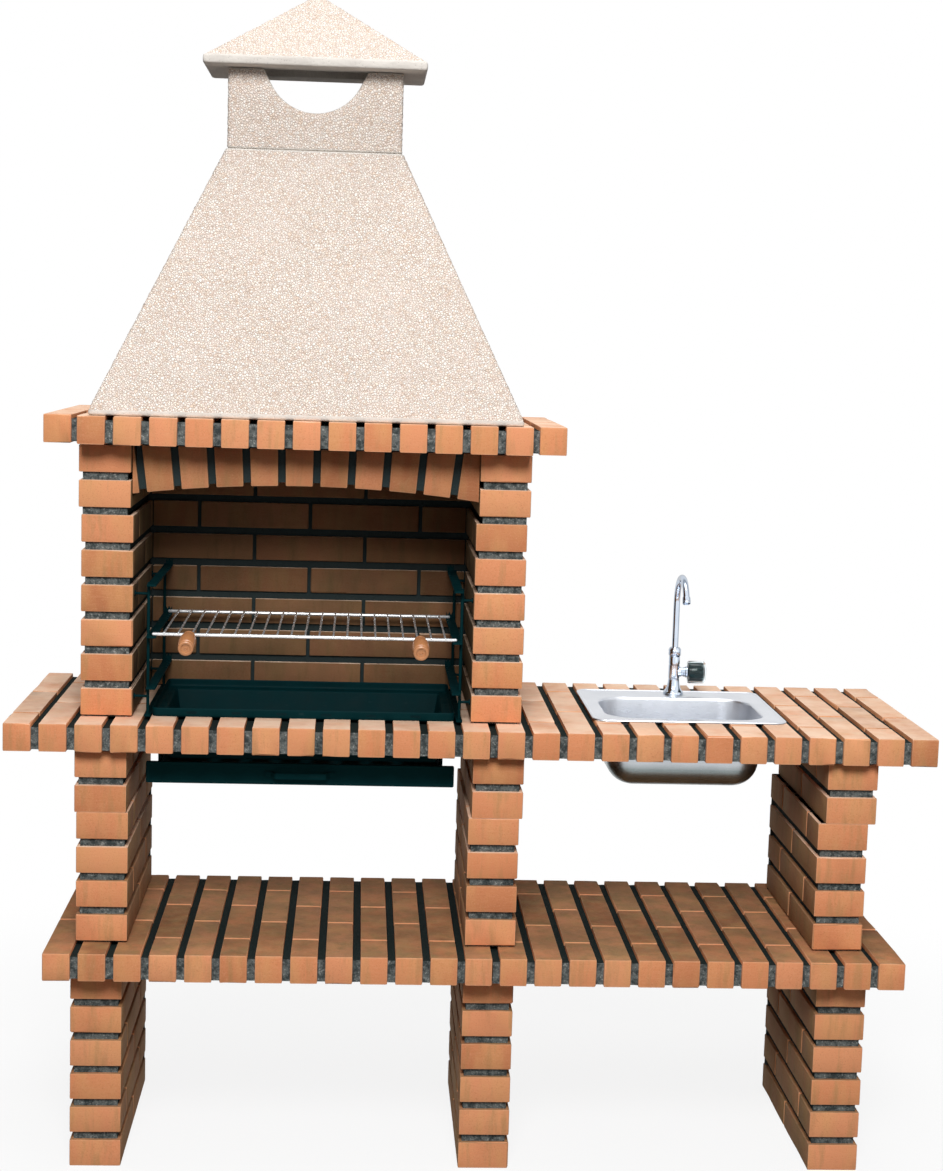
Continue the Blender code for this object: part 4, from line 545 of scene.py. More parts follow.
layer = brickLayer()
unit = addShape("unitBrick", lambda bm: unitBrick(bm, (-0.3, 0.3), (0,), ()))
turns = {(0, 1, 2): (0, 0, 0), (1, 0, 2): (0, 0, quarter), (0, 2, 1): (quarter, 0, 0),        # axes, longest first
         (1, 2, 0): (quarter, 0, quarter), (2, 1, 0): (0, quarter, 0), (2, 0, 1): (0, quarter, quarter)}


def layBricks(name, rows, seed):
    # rows: (low corner, high corner) of each brick; returns one plain mesh of them all
    rows = [(Vector(low), Vector(high)) for low, high in rows]
    halves = [(high - low) / 2 - Vector([brick["shrink"]] * 3) for low, high in rows]
    points = bpy.data.meshes.new(name)
    points.from_pydata([(low + high) / 2 for low, high in rows], [], [])
    ways = [turns[tuple(sorted(range(3), key=lambda axis: -half[axis]))] for half in halves]
    for label, values in (("half", halves), ("turn", ways)):
        attribute = points.attributes.new(label, "FLOAT_VECTOR", "POINT")
        attribute.data.foreach_set("vector", [value for row in values for value in row])
    return layer.lay(addObject(name, points), part=unit, edgeRadius=brick["edgeRadius"], waviness=brick["waviness"],
                     chips=brick["chips"], seed=seed, material=finish["clay"])


def roughCore(bm, cores):
    # Mortar between the bricks: divided boxes with a hand-raked surface
    for low, high in cores:
        low, high = Vector(low), Vector(high)
        middle, half = (low + high) / 2, (high - low) / 2

        def raked(place):
            place = Vector(place)
            out = Vector([math.copysign(1, off) if abs(abs(off) - reach) < 1e-6 else 0
                          for off, reach in zip(place - middle, half)])
            return place - out.normalized() * brick["gritDepth"] * (0.5 + 0.5 * noise.noise(place * 70))
        latticeBox(bm, low, high, brick["grit"], raked)


def block(node, rows, cores, seed, joint="mortar", hole=None):
    bricks = layBricks(node + "_bricks", rows, seed)
    mortar = addShape(node + "_mortar", lambda bm: roughCore(bm, cores), joint)
    if hole:
        for part in (bricks, mortar):
            carve(part, lambda bm: latticeBox(bm, *hole, 1.0))
    absorb(bricks, mortar)
    levels = [corner[2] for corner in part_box(node)]
    for vertex in bricks.data.vertices:                     # flat where the block beds on its neighbours
        for level in levels:
            if abs(vertex.co.z - level) < brick["bedding"]:
                vertex.co.z = level
    return standFor(bricks, node, smooth=35)


def stripe(low, high, first):
    # Bricks end to end along Y, the first with a length of its own
    rows, y, length = [], low[1], first
    while y < high[1] - brick["perpend"]:
        end = min(y + length, high[1])
        rows.append(((low[0], y, low[2]), (high[0], end, high[2])))
        y, length = end + brick["perpend"], brick["length"]
    return rows


def courses(bottom, top):
    index = 0
    while bottom + brick["height"] < top + 1e-4:
        yield index, bottom, bottom + brick["height"]
        index, bottom = index + 1, bottom + course


def wallBlock(node, bed, seed):
    # Half a brick thick, front to back, in running bond; bed is the mortar under its first course
    low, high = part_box(node)
    rake, struck, rows = brick["rake"], brick["struck"], []
    for index, z, top in courses(low[2] + bed, high[2]):
        rows += stripe((low[0], low[1], z), (high[0], high[1], top), brick["width" if index % 2 else "length"])
    bottom = low[2] + (0 if bed else rake)
    core = ((low[0] + rake, low[1] + rake, bottom), (high[0] - rake, high[1] - struck, high[2]))
    plug = ((low[0] + struck, high[1] - brick["plug"], bottom),               # the rear end is pointed flush
            (high[0] - struck, high[1] - struck, high[2]))
    block(node, rows, [core, plug], seed)


def crossBlock(node, bed, seed):
    # Half a brick thick, left to right, bonded about its middle
    low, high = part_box(node)
    rows, middle, step = [], (low[0] + high[0]) / 2, brick["length"] + brick["perpend"]
    for index, z, top in courses(low[2] + bed, high[2]):
        for count in range(-4, 5):
            centre = middle + (step / 2 if index % 2 else 0) + count * step
            start, end = max(low[0], centre - brick["length"] / 2), min(high[0], centre + brick["length"] / 2)
            if end - start > brick["perpend"]:
                rows.append(((start, low[1], z), (end, high[1], top)))
    rake, into = brick["rake"], brick["rake"] - 0.0005     # its mortar runs into the side walls' raked joints
    block(node, rows, [((low[0] - into, low[1] + rake, low[2]), (high[0] + into, high[1] - rake, high[2]))], seed, "soot")


def slabBlock(node, seed, jointLeft=False, flip=0, hole=None):
    # Strips of brick on edge, front to back; a cut brick ends each strip, in front or behind by turns
    low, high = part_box(node)
    left, rake, struck, rows = low[0] + (brick["joint"] - 0.0003 if jointLeft else 0), brick["rake"], brick["struck"], []
    for strip in range(round((high[0] - left + brick["joint"]) / course)):
        x = left + strip * course
        rows += stripe((x, *low[1:]), (x + brick["height"], *high[1:]), brick["cut" if (strip + flip) % 2 else "length"])
    core = ((low[0] if jointLeft else left + rake, low[1] + rake, low[2] + struck),
            (high[0] - rake, high[1] - struck, high[2] - rake))
    block(node, rows, [core], seed, hole=hole)


def holeFor(node, rim):
    # A hole through the worktop for a piece that hangs in it by its rim
    (left, front, _), (right, back, _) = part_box(node)
    bottom, top = (corner[2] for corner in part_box("worktop_hearth_slab"))
    return (left + rim, front + rim, bottom - brick["clear"]), (right - rim, back - rim, top + brick["clear"])


def layMasonry():
    bed, ringBed = brick["bed"], brick["ringBed"]
    for number, side in enumerate(("left", "middle", "right")):
        wallBlock(f"lower_leg_{side}", 0, 10 + number)
        wallBlock(f"upper_leg_{side}", bed, 20 + number)
        wallBlock(f"leg_cap_{side}", 0, 30 + number)
    slabBlock("shelf_slab_left", 41)
    slabBlock("shelf_slab_right", 42, True, 1)
    slabBlock("worktop_hearth_slab", 43, False, 1, holeFor("charcoal_tray", 0.013))
    slabBlock("worktop_sink_slab", 44, True, 0, holeFor("sink_bowl", 0.009))
    for side in ("left", "right"):
        wallBlock(f"firebox_wall_{side}", bed, 50 + len(side))
        wallBlock(f"hearth_ring_{side}", ringBed, 60 + len(side))
    crossBlock("firebox_wall_back", bed, 71)
    crossBlock("hearth_ring_back", ringBed, 72)


layMasonry()
print("masonry laid")


def softened(points, radius, steps=3, closed=False):
    # Rounds the corners of an outline with short curves
    result = []
    for index, point in enumerate(points):
        here = Vector(point)
        if not closed and index in (0, len(points) - 1):
            result.append(here)
            continue
        before, after = Vector(points[index - 1]) - here, Vector(points[(index + 1) % len(points)]) - here
        start = here + before.normalized() * min(radius, before.length * 0.45)
        end = here + after.normalized() * min(radius, after.length * 0.45)
        for step in range(steps + 1):
            t = step / steps
            result.append(start * (1 - t) ** 2 + here * 2 * t * (1 - t) + end * t ** 2)
    return result


def skin(bm, rings, close=False, caps=False):
    # Joins rings of points; a ring of one point closes an end
    made = [[bm.verts.new(point) for point in ring] for ring in rings]
    for first, second in list(zip(made, made[1:])) + ([(made[-1], made[0])] if close else []):
        for s in range(max(len(first), len(second))):
            quad = [ring[i % len(ring)] for ring, i in ((first, s), (first, s + 1), (second, s + 1), (second, s))]
            bm.faces.new(list(dict.fromkeys(quad)))
    if caps:
        bm.faces.new(made[0][::-1])
        bm.faces.new(made[-1])


def circle(radius, height, steps, place=Matrix()):
    # radius: a number, or a function of the step
    sizes = [radius(s) if callable(radius) else radius for s in range(steps)]
    return [place @ Vector((size * math.cos(math.tau * s / steps), size * math.sin(math.tau * s / steps), height))
            for s, size in enumerate(sizes)]


def turn(bm, profile, steps=40, place=Matrix(), **ends):
    # Turns (radius, height) points round Z; a radius of zero closes an end
    skin(bm, [circle(radius, height, steps if callable(radius) or radius > 1e-6 else 1, place)
              for radius, height in profile], **ends)


def bored(bm, radius, bottom, top, steps, place):
    turn(bm, [(0, bottom), (radius, bottom), (radius, top), (0, top)], steps, place)


def squareRing(centre, halfX, halfY, z, corner, steps=4):
    # Points round a rectangle with rounded corners
    corner = max(min(corner, halfX, halfY), 0.0002)
    return [Vector((centre[0] + sx * (halfX - corner) + corner * math.cos(quarter * (side + step / steps)),
                    centre[1] + sy * (halfY - corner) + corner * math.sin(quarter * (side + step / steps)), z))
            for side, (sx, sy) in enumerate(((1, 1), (-1, 1), (-1, -1), (1, -1))) for step in range(steps + 1)]


def trayRings(centre, halfX, halfY, profile, corner):
    # profile: (inset from the outer size, height)
    return [squareRing(centre, halfX - inset, halfY - inset, z, corner - inset if corner > inset else 0.002)
            for inset, z in profile]


def sweep(bm, points, radius, sides=12, roundEnds=True):
    # A rod along points
    points = [Vector(point) for point in points]
    rod = [(point, radius) for point in points]
    if roundEnds:
        cap = ((0.12, 0.45), (0.45, 0.84), (1.0, 1.0))
        first, last = (points[1] - points[0]).normalized(), (points[-1] - points[-2]).normalized()
        rod[:1] = [(points[0] + first * radius * a, radius * b) for a, b in cap]
        rod[-1:] = [(points[-1] - last * radius * a, radius * b) for a, b in reversed(cap)]
    tangent = (rod[1][0] - rod[0][0]).normalized()
    side = (tangent.orthogonal() if abs(tangent.z) > 0.9 else tangent.cross(Vector((0, 0, 1)))).normalized()
    rings = []
    for index, (point, size) in enumerate(rod):
        ahead = (rod[min(index + 1, len(rod) - 1)][0] - rod[max(index - 1, 0)][0]).normalized()
        side = (side - ahead * side.dot(ahead)).normalized()
        up = ahead.cross(side)
        rings.append([point + side * size * math.cos(math.tau * s / sides) + up * size * math.sin(math.tau * s / sides)
                      for s in range(sides)])
    skin(bm, rings, caps=True)


def softPlate(bm, outline, thickness, place, bevel=0.0006, segments=2):
    # A flat outline made thick, with its edges eased
    local = bmesh.new()
    face = local.faces.new([local.verts.new((x, y, -thickness / 2)) for x, y in outline])
    grown = bmesh.ops.extrude_face_region(local, geom=[face])["geom"]
    bmesh.ops.translate(local, verts=[v for v in grown if isinstance(v, bmesh.types.BMVert)], vec=(0, 0, thickness))
    bmesh.ops.recalc_face_normals(local, faces=local.faces)
    if bevel:
        bmesh.ops.bevel(local, geom=local.edges[:], offset=bevel, segments=segments, affect="EDGES", clamp_overlap=True)
    bmesh.ops.transform(local, matrix=place, verts=local.verts)
    mesh = bpy.data.meshes.new("plate")
    local.to_mesh(mesh)
    local.free()
    bm.from_mesh(mesh)
    bpy.data.meshes.remove(mesh)


def easedUnit(q, half, radius):
    # The brick layer's rule for rounded edges, for one point of the unit brick
    loop = brick["loop"]
    outer = Vector([min(max((abs(v) - loop) / (1 - loop), 0), 1) for v in q])
    inner = Vector([min(abs(v) / loop, 1) * (h - radius) for v, h in zip(q, half)])
    reach = inner + outer.normalized() * radius
    return [math.copysign(r, v) for r, v in zip(reach, q)], sum(outer) - 1


def makeArch():
    # Wedge bricks fan out from one centre, cut flat on top and plumb at both ends
    arch = {"rise": 0.0217, "crown": 0.070, "wedge": 0.0512, "fanShift": -0.014, "glue": 0.0027, "inset": 0.0004,
            "weld": 0.00002, "grit": 0.0012}
    low, high, middle, (halfSpan, halfDepth, _) = boxOf("brick_arch")
    crown, rake, top = arch["crown"], brick["rake"], high.z - arch["glue"]
    radius = (halfSpan ** 2 + arch["rise"] ** 2) / (2 * arch["rise"])
    centre = top - crown - radius
    halfSize = (arch["wedge"] / 2, halfDepth, crown / 2)
    pick, rubs = random.Random(7), {}

    def fanned(reach, angle):
        return Vector((middle.x + reach * math.sin(angle), 0, centre + reach * math.cos(angle)))

    def build(bm):
        toneLayer, edgeLayer = bm.verts.layers.float.new("tone"), bm.verts.layers.float.new("edge")
        for count in range(-5, 6):
            at = (arch["fanShift"] + count * (arch["wedge"] + brick["joint"])) / radius
            shade, start = pick.random(), len(bm.verts)

            def wedge(q):
                soft, worn = easedUnit(q, halfSize, brick["edgeRadius"])
                u, v, w = (size / half for size, half in zip(soft, halfSize))
                angle = at + halfSize[0] / radius * u
                head = Vector((middle.x + (top - centre) * math.tan(angle), 0, top))
                place = fanned(radius, angle).lerp(head, (w + 1) / 2)
                place.y = middle.y + v * halfDepth
                if abs(v) > 0.9:
                    place.y -= math.copysign((noise.noise(place * 26) * 0.5 + 0.5) * brick["waviness"] * 1.3, v)
                place.x = min(max(place.x, low.x + arch["inset"]), high.x - arch["inset"])
                place.z = min(place.z, top)
                rubs[place.to_tuple(6)] = worn
                return place
            unitBrick(bm, (-0.5, 0, 0.5), (-0.3, 0.3), (-0.3, 0.3), shape=wedge)
            bm.verts.ensure_lookup_table()
            fresh = bm.verts[start:]
            if max(v.co.x for v in fresh) - min(v.co.x for v in fresh) < brick["perpend"] * 2:
                bmesh.ops.delete(bm, geom=fresh, context="VERTS")
                continue
            for vert in fresh:
                vert[toneLayer], vert[edgeLayer] = shade, rubs[vert.co.to_tuple(6)]
        bmesh.ops.remove_doubles(bm, verts=bm.verts, dist=arch["weld"])
        bmesh.ops.dissolve_degenerate(bm, edges=bm.edges, dist=arch["weld"])
    spread = math.asin((halfSpan - rake) / (radius + rake))

    def bend(place):
        # place's X runs over the angle, its Z from the intrados to the top
        share = place[0] / halfSpan
        spot = fanned(radius + rake, spread * share).lerp(Vector((middle.x + (halfSpan - rake) * share, 0, high.z)),
                                                          place[2] / crown)
        spot.y = place[1] + arch["grit"] * noise.noise(spot * 80)
        return spot
    mortar = addShape("archMortar", lambda bm: latticeBox(bm, (-halfSpan, low.y + rake, 0), (halfSpan, high.y - rake, crown),
                                                          brick["grit"], bend), "soot")
    standFor(absorb(addShape("archBricks", build, "clay"), mortar), "brick_arch", smooth=35)


def makeMantel():
    flue = {"width": 0.600, "depth": 0.215, "back": 0.104}
    low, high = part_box("mantel_slab")
    middle, back, clear = (low[0] + high[0]) / 2, high[1] - flue["back"], brick["clear"]
    slabBlock("mantel_slab", 81, False, 1, ((middle - flue["width"] / 2, back - flue["depth"], low[2] - clear),
                                            (middle + flue["width"] / 2, back, high[2] + clear)))
    rake, wide = brick["rake"], brick["height"]
    for side in ("left", "right"):
        low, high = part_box(f"mantel_end_{side}")
        left = low[0] if side == "left" else high[0] - wide
        core = ((left + rake if side == "left" else low[0], low[1] + rake, low[2] + brick["struck"]),
                (high[0] if side == "left" else left + wide - rake, high[1] - rake, high[2] - rake))
        block(f"mantel_end_{side}", stripe((left, *low[1:]), (left + wide, *high[1:]), brick["length"]), [core],
              82 + len(side))


makeArch()
makeMantel()
print("arch and mantel laid")

stoneware = {"voxel": 0.0055, "fineVoxel": 0.0042, "stones": 150, "pebbleDepth": 0.0016, "band": 0.009, "wall": 0.028,
             "topLip": 0.0025, "outletRadius": 0.094, "outletSill": 0.070, "outletHalfAngle": math.radians(62.5),
             "outletSteps": 12, "fascia": 0.0155, "shell": 0.022, "tip": 0.001}


def cast(node, levels, corner, voxel, isPebble, outlet=None, **ends):
    # A hollow casting through square rings (half x, half y, height), remeshed evenly, then its pebbled faces
    # dimpled between the stones; isPebble(place, normal) tells them
    centre = boxOf(node)[2]
    obj = addShape(node + "_look", lambda bm: skin(bm, [squareRing(centre, x, y, z, corner) for x, y, z in levels], **ends))
    if outlet:
        carve(obj, outlet)
    modify(obj, "REMESH", mode="VOXEL", voxel_size=voxel, adaptivity=0.0)
    modify(obj, "SMOOTH", factor=0.5, iterations=3)
    mesh = bake(obj).data
    mesh.materials.clear()
    for material in ("pebble", "cement"):
        mesh.materials.append(finish[material])
    places = [vert.co.copy() for vert in mesh.vertices]
    for place, entry in zip(places, [entry.vector.copy() for entry in mesh.vertex_normals]):
        if isPebble(place, entry):
            place -= entry * stoneware["pebbleDepth"] * min(noise.voronoi(place * stoneware["stones"])[0][0] * 1.4, 1.0)
    mesh.vertices.foreach_set("co", [value for place in places for value in place])
    mesh.polygons.foreach_set("material_index", [0 if isPebble(polygon.center, entry.vector) else 1
                                                 for polygon, entry in zip(mesh.polygons, mesh.polygon_normals)])
    mesh.shade_smooth()
    standFor(obj, node)


def makeHood():
    low, high, centre, (baseX, baseY, _) = boxOf("smoke_hood")
    topX, topY = (half + stoneware["topLip"] for half in boxOf("chimney_collar")[3][:2])
    wall, brim, near = stoneware["wall"], low.z + stoneware["band"], 0.010
    inner = baseX - wall * 1.1, baseY - wall * 1.2
    levels = [(baseX, baseY, low.z), (baseX, baseY, brim), (topX, topY, high.z),
              (topX - wall * 1.05, topY - wall * 1.1, high.z), (*inner, brim), (*inner, low.z)]

    def pebbled(place, normal):
        slope = (place.z - low.z - stoneware["band"]) / (high.z - low.z - stoneware["band"])
        outside = (abs(place.x - centre.x) > baseX + (topX - baseX) * slope - near
                   or abs(place.y - centre.y) > baseY + (topY - baseY) * slope - near)
        return outside and brim < place.z < high.z - 0.004
    cast("smoke_hood", levels, 0.005, stoneware["voxel"], pebbled, close=True)


def makeCollar():
    low, high, centre, (halfX, halfY, _) = boxOf("chimney_collar")
    wall, radius, half = (stoneware[key] for key in ("wall", "outletRadius", "outletHalfAngle"))
    steps, near = stoneware["outletSteps"], 0.004
    levels = [(halfX, halfY, low.z), (halfX, halfY, high.z), (halfX - wall, halfY - wall, high.z),
              (halfX - wall, halfY - wall, low.z)]
    middle, tall = stoneware["outletSill"] + radius, high.z - low.z + brick["clear"]
    outline = [(radius * math.sin(half * (step / steps - 1)), middle - radius * math.cos(half * (step / steps - 1)))
               for step in range(2 * steps + 1)]
    reach = outline[-1][0] + (tall - outline[-1][1]) / math.tan(half)
    outline += [(reach, tall), (-reach, tall)]

    def pebbled(place, normal):
        outside = abs(place.x - centre.x) > halfX - near or abs(place.y - centre.y) > halfY - near
        return outside and low.z + near < place.z < high.z - 0.003 and abs(normal.z) < 0.5
    cast("chimney_collar", levels, 0.004, stoneware["fineVoxel"], pebbled, close=True,
         outlet=lambda bm: softPlate(bm, outline, 0.3, moved(centre.x, centre.y, low.z, quarter), 0))


def makeRoof():
    low, high, _, (halfX, halfY, _) = boxOf("chimney_roof")
    innerX, innerY = (half - stoneware["wall"] for half in boxOf("chimney_collar")[3][:2])
    fascia, tip = stoneware["fascia"], stoneware["tip"]
    peak = (high.z - low.z - fascia) * innerX / halfX - stoneware["shell"]
    levels = [(tip, tip, high.z), (halfX, halfY, low.z + fascia), (halfX, halfY, low.z), (innerX, innerY, low.z),
              (tip, tip, low.z + peak)]
    cast("chimney_roof", levels, 0.003, stoneware["fineVoxel"], caps=True,
         isPebble=lambda place, normal: normal.z > 0.3 and place.z > low.z + fascia + 0.002)


makeHood()
makeCollar()
makeRoof()
print("hood, collar and roof cast")


def makeTray():
    tray = {"flange": 0.018, "lip": 0.016, "taper": 0.014, "sheet": 0.002, "corner": 0.012, "bend": 0.005,
            "floorEdge": 0.03, "slots": 7, "slotWidth": 0.008, "marginX": 0.076, "marginY": 0.047, "marks": 6,
            "markLength": 0.020, "markHeight": 0.005, "markMargin": 0.0755, "markCorner": 0.0024}
    low, high, centre, (halfX, halfY, _) = boxOf("charcoal_tray")
    flange, sheet, slot = tray["flange"], tray["sheet"], tray["slotWidth"] / 2
    under, floorInset = high.z - tray["lip"] - sheet, flange + tray["taper"]
    path = softened([(floorInset + tray["floorEdge"], low.z), (floorInset, low.z), (flange, under), (0, under),
                     (0, high.z), (sheet, high.z), (sheet, under + sheet), (flange + sheet * 1.2, under + sheet),
                     (floorInset + sheet * 0.9, low.z + sheet), (floorInset + tray["floorEdge"], low.z + sheet)],
                    tray["bend"])
    body = addShape("tray", lambda bm: skin(bm, trayRings(centre, halfX, halfY, path, tray["corner"]), caps=True), "black")
    reachX, reachY = halfX - floorInset - tray["marginX"], halfY - floorInset - tray["marginY"]

    def spread(count, reach):
        return [centre.x + reach * (2 * index / (count - 1) - 1) for index in range(count)]

    def openings(bm):
        for x in spread(tray["slots"], reachX):
            skin(bm, [squareRing((x, centre.y), slot, reachY, low.z + dz, slot) for dz in (-0.02, 0.02)], caps=True)
        for x in spread(tray["marks"], halfX - tray["markMargin"]):
            z = (under + high.z) / 2 + sheet / 2
            ring = softened([(x + sx * tray["markLength"] / 2, z + sz * tray["markHeight"] / 2)
                             for sx, sz in ((-1, -1), (1, -1), (1, 1), (-1, 1))], tray["markCorner"], closed=True)
            skin(bm, [[(px, centre.y - halfY + dy, pz) for px, pz in ring] for dy in (-0.01, 0.01)], caps=True)
    standFor(carve(body, openings), "charcoal_tray", "charcoal_tray", smooth=40)


def makeDrawer():
    drawer = {"edge": 0.008, "height": 0.0415, "pan": 0.034, "sheet": 0.0015, "lap": 0.026, "floorEdge": 0.03,
              "bead": ((0.012, 0.0008), (0.0055, 0.0008), (0.0040, 0), (0, 0))}
    low, high, middle, (faceX, _, _) = boxOf("ash_drawer")
    sheet, edge, inner, faceZ = drawer["sheet"], drawer["edge"], drawer["floorEdge"], drawer["height"] / 2
    front = low.y + sheet / 2
    panY, bottom = (high.y - front) / 2, low.z + (drawer["height"] - drawer["pan"]) / 2
    top = bottom + drawer["pan"]
    path = softened([(inner, bottom), (0, bottom), (0, top), (sheet, top), (sheet, bottom + sheet),
                     (inner, bottom + sheet)], 0.0012, 2)
    plate = softened([*drawer["bead"], (0, edge), (sheet, edge), (sheet, sheet), (0.010, sheet)], 0.0014, 3)

    def build(bm):
        skin(bm, trayRings((middle.x, front + panY), faceX - drawer["lap"], panY, path, 0.004), caps=True)
        skin(bm, [[(middle.x + p.x, low.y + depth, low.z + faceZ + p.y)
                   for p in squareRing((0, 0), faceX - inset, faceZ - inset, 0, 0.003 - min(inset, 0.002))]
                  for inset, depth in plate], caps=True)
    fit("ash_drawer", build, "drawerPaint", "ash_drawer", 40)


def makePull():
    # A flat strap with sloping ends and two feet
    pull = {"sheet": 0.0025, "splay": 0.007, "foot": 0.012, "bendRadius": 0.0035, "edge": 0.0006}
    low, high, middle, (half, _, _) = boxOf("drawer_pull")
    reach, sheet, splay = high.y - low.y, pull["sheet"], pull["splay"]
    root, mitre = half - pull["foot"], sheet * math.tan(math.atan2(reach - sheet, splay) / 2)
    face = root - splay
    outside = [(half, -sheet), (root, -sheet), (face, -reach), (-face, -reach), (-root, -sheet), (-half, -sheet)]
    inside = [(-half, 0), (mitre - root, 0), (mitre - face, sheet - reach), (face - mitre, sheet - reach),
              (root - mitre, 0), (half, 0)]
    outline = [(p.x, p.y) for side in (outside, inside) for p in softened(side, pull["bendRadius"], 4)]
    fit("drawer_pull", lambda bm: softPlate(bm, outline, high.z - low.z, moved(middle.x, high.y, middle.z), pull["edge"]),
        "drawerPaint", "ash_drawer", 40)


makeTray()
makeDrawer()
makePull()
print("tray and drawer pressed")

rack = {"upright": 0.003, "armWidth": 0.019, "arm": 0.004, "notches": 4, "notchPitch": 0.026, "notchDepth": 0.007,
        "notchHalf": 0.006, "horn": 0.014, "footWidth": 0.012, "foot": 0.003, "lug": 0.0025, "belowArm": 0.020,
        "tops": (0.058, 0.1557, 0.254), "reach": 0.023, "slack": 0.0003, "edge": 0.0004,
        "washer": ((0, -0.0012), (0.0055, -0.0012), (0.0055, 0.0006), (0.004, 0.0012), (0, 0.0012)),
        "screw": ((0, 0.0014), (0.0012, 0.0014), (0.0026, 0.0008), (0.0030, 0), (0, 0))}


def makeRack(side, mirror):
    low, high, _, _ = boxOf(f"grill_rack_{side}")
    upright, arm, slack, edge, width = (rack[key] for key in ("upright", "arm", "slack", "edge", "footWidth"))
    inner, wall = (low.x, high.x) if mirror > 0 else (high.x, low.x)
    x, tops = inner + mirror * (rack["armWidth"] - upright), [low.z - slack + top for top in rack["tops"]]
    outer, root, half = x + mirror * upright / 2, x - mirror * upright, width / 2
    front, back = low.y + rack["reach"], high.y - half

    def build(bm):
        for y in (front, back):
            sweep(bm, [(x, y, low.z + 0.001), (x, y, tops[-1] + arm / 2)], upright, 14)
            for z in (tops[-1] - rack["belowArm"], tops[0] - rack["belowArm"]):
                sweep(bm, [(x, y, z), (wall, y, z)], rack["lug"], 12)
                turn(bm, rack["washer"], 20, moved(wall - mirror * 0.0012, y, z, quarter, "Y"))
        bar = softened([(x - half, front - width), (x + half, front - width), (x + half, high.y), (x - half, high.y)],
                       0.002, 2, True)
        softPlate(bm, bar, rack["foot"], moved(0, 0, low.z + rack["foot"] / 2), edge)
        turn(bm, rack["screw"], 16, moved(x, front - width * 0.55, low.z + rack["foot"]))
        for top in tops:
            outline = [(outer, low.y), (inner, low.y)]
            for notch in range(rack["notches"], 0, -1):
                y = back - arm - notch * rack["notchPitch"]
                end = y + 2 * rack["notchHalf"]
                outline += [(inner, y), (inner + mirror * rack["notchDepth"], end), (inner, end + slack)]
            softPlate(bm, [*outline, (inner, back), (outer, back)], arm, moved(0, 0, top - arm / 2), edge, 1)
            tip, base, span = top + rack["horn"], top - arm / 2, root - inner
            valley = tip - rack["notchDepth"]
            horn = [(root, base), (inner, base), (inner, tip), (inner + span * 0.25, valley), (inner + span / 2, tip),
                    (inner + span * 0.75, valley), (root, tip)]
            softPlate(bm, horn, arm, moved(0, back - arm, 0, quarter), edge, 1)
    fit(f"grill_rack_{side}", build, "black")


makeRack("left", -1)
makeRack("right", 1)

grill = {"rail": 0.0035, "wire": 0.002, "count": 21, "margin": 0.023, "overhang": 0.0045, "bite": 0.003, "sway": 0.004,
         "tang": 0.003, "tangLength": 0.052, "fromEnd": 0.071, "drop": math.radians(8), "gap": 0.010}


def wireLayer():
    # One round-ended wire on every point along the rail, each swayed a little
    layer = Layer("layWires", points="Geometry", part="Object", sway="Float", seed="Int", material="Material")
    angle = layer.maths("MULTIPLY", layer.maths("SUBTRACT", layer.chance, 0.5), layer.given["sway"])
    return layer.finished(layer.laid(layer.given["points"], layer.add("ShaderNodeCombineXYZ", {2: angle}).outputs[0]))


def makeGrill():
    low, high, _, (half, _, _) = boxOf("grill_grid")
    rail, wire, count, drop = (grill[key] for key in ("rail", "wire", "count", "drop"))
    middle = (low.x + high.x) / 2
    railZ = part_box("grill_rack_right")[0][2] + rack["tops"][1] + rail          # on the middle arms
    back = high.y - grill["overhang"]
    front = low.y + math.cos(drop) * (grill["tangLength"] + grill["gap"]) + 0.0004
    reach, pitch = (back - front + 2 * grill["overhang"]) / 2, (2 * half - 2 * grill["margin"]) / (count - 1)
    seeds = bpy.data.meshes.new("wireSeeds")
    seeds.from_pydata([(middle + (n - (count - 1) / 2) * pitch, (front + back) / 2, railZ + rail + wire - grill["bite"])
                       for n in range(count)], [], [])
    oneWire = addShape("oneWire", lambda bm: sweep(bm, [(0, -reach, 0), (0, 0, 0), (0, reach, 0)], wire, 10))
    wires = wireLayer().lay(addObject("wires", seeds), part=oneWire, sway=grill["sway"], seed=5, material=finish["wire"])
    bpy.data.objects.remove(oneWire)
    along = Vector((0, -math.cos(drop), -math.sin(drop)))
    roots = {side: Vector((middle + mirror * (half - grill["fromEnd"]), front, railZ))
             for side, mirror in (("left", -1), ("right", 1))}

    def build(bm):
        for y in (front, back):
            sweep(bm, [(middle + half * share, y, railZ) for share in (-1, -1 / 3, 1 / 3, 1)], rail, 16)
        for root in roots.values():
            sweep(bm, [root, root + along * 0.02, root + along * (grill["gap"] + grill["tangLength"])], grill["tang"], 14)
    standFor(absorb(addShape("rails", build, "wire"), wires), "grill_grid", "grill", smooth=50)
    for side, root in roots.items():
        makeHandle(f"grill_handle_{side}", root + along * grill["gap"], along)


def facingAlong(start, direction):
    return Matrix.Translation(start) @ direction.to_track_quat("Z", "Y").to_matrix().to_4x4()


def scaled(size, tall, *points):
    return [(size * radius, tall * height) for radius, height in points]


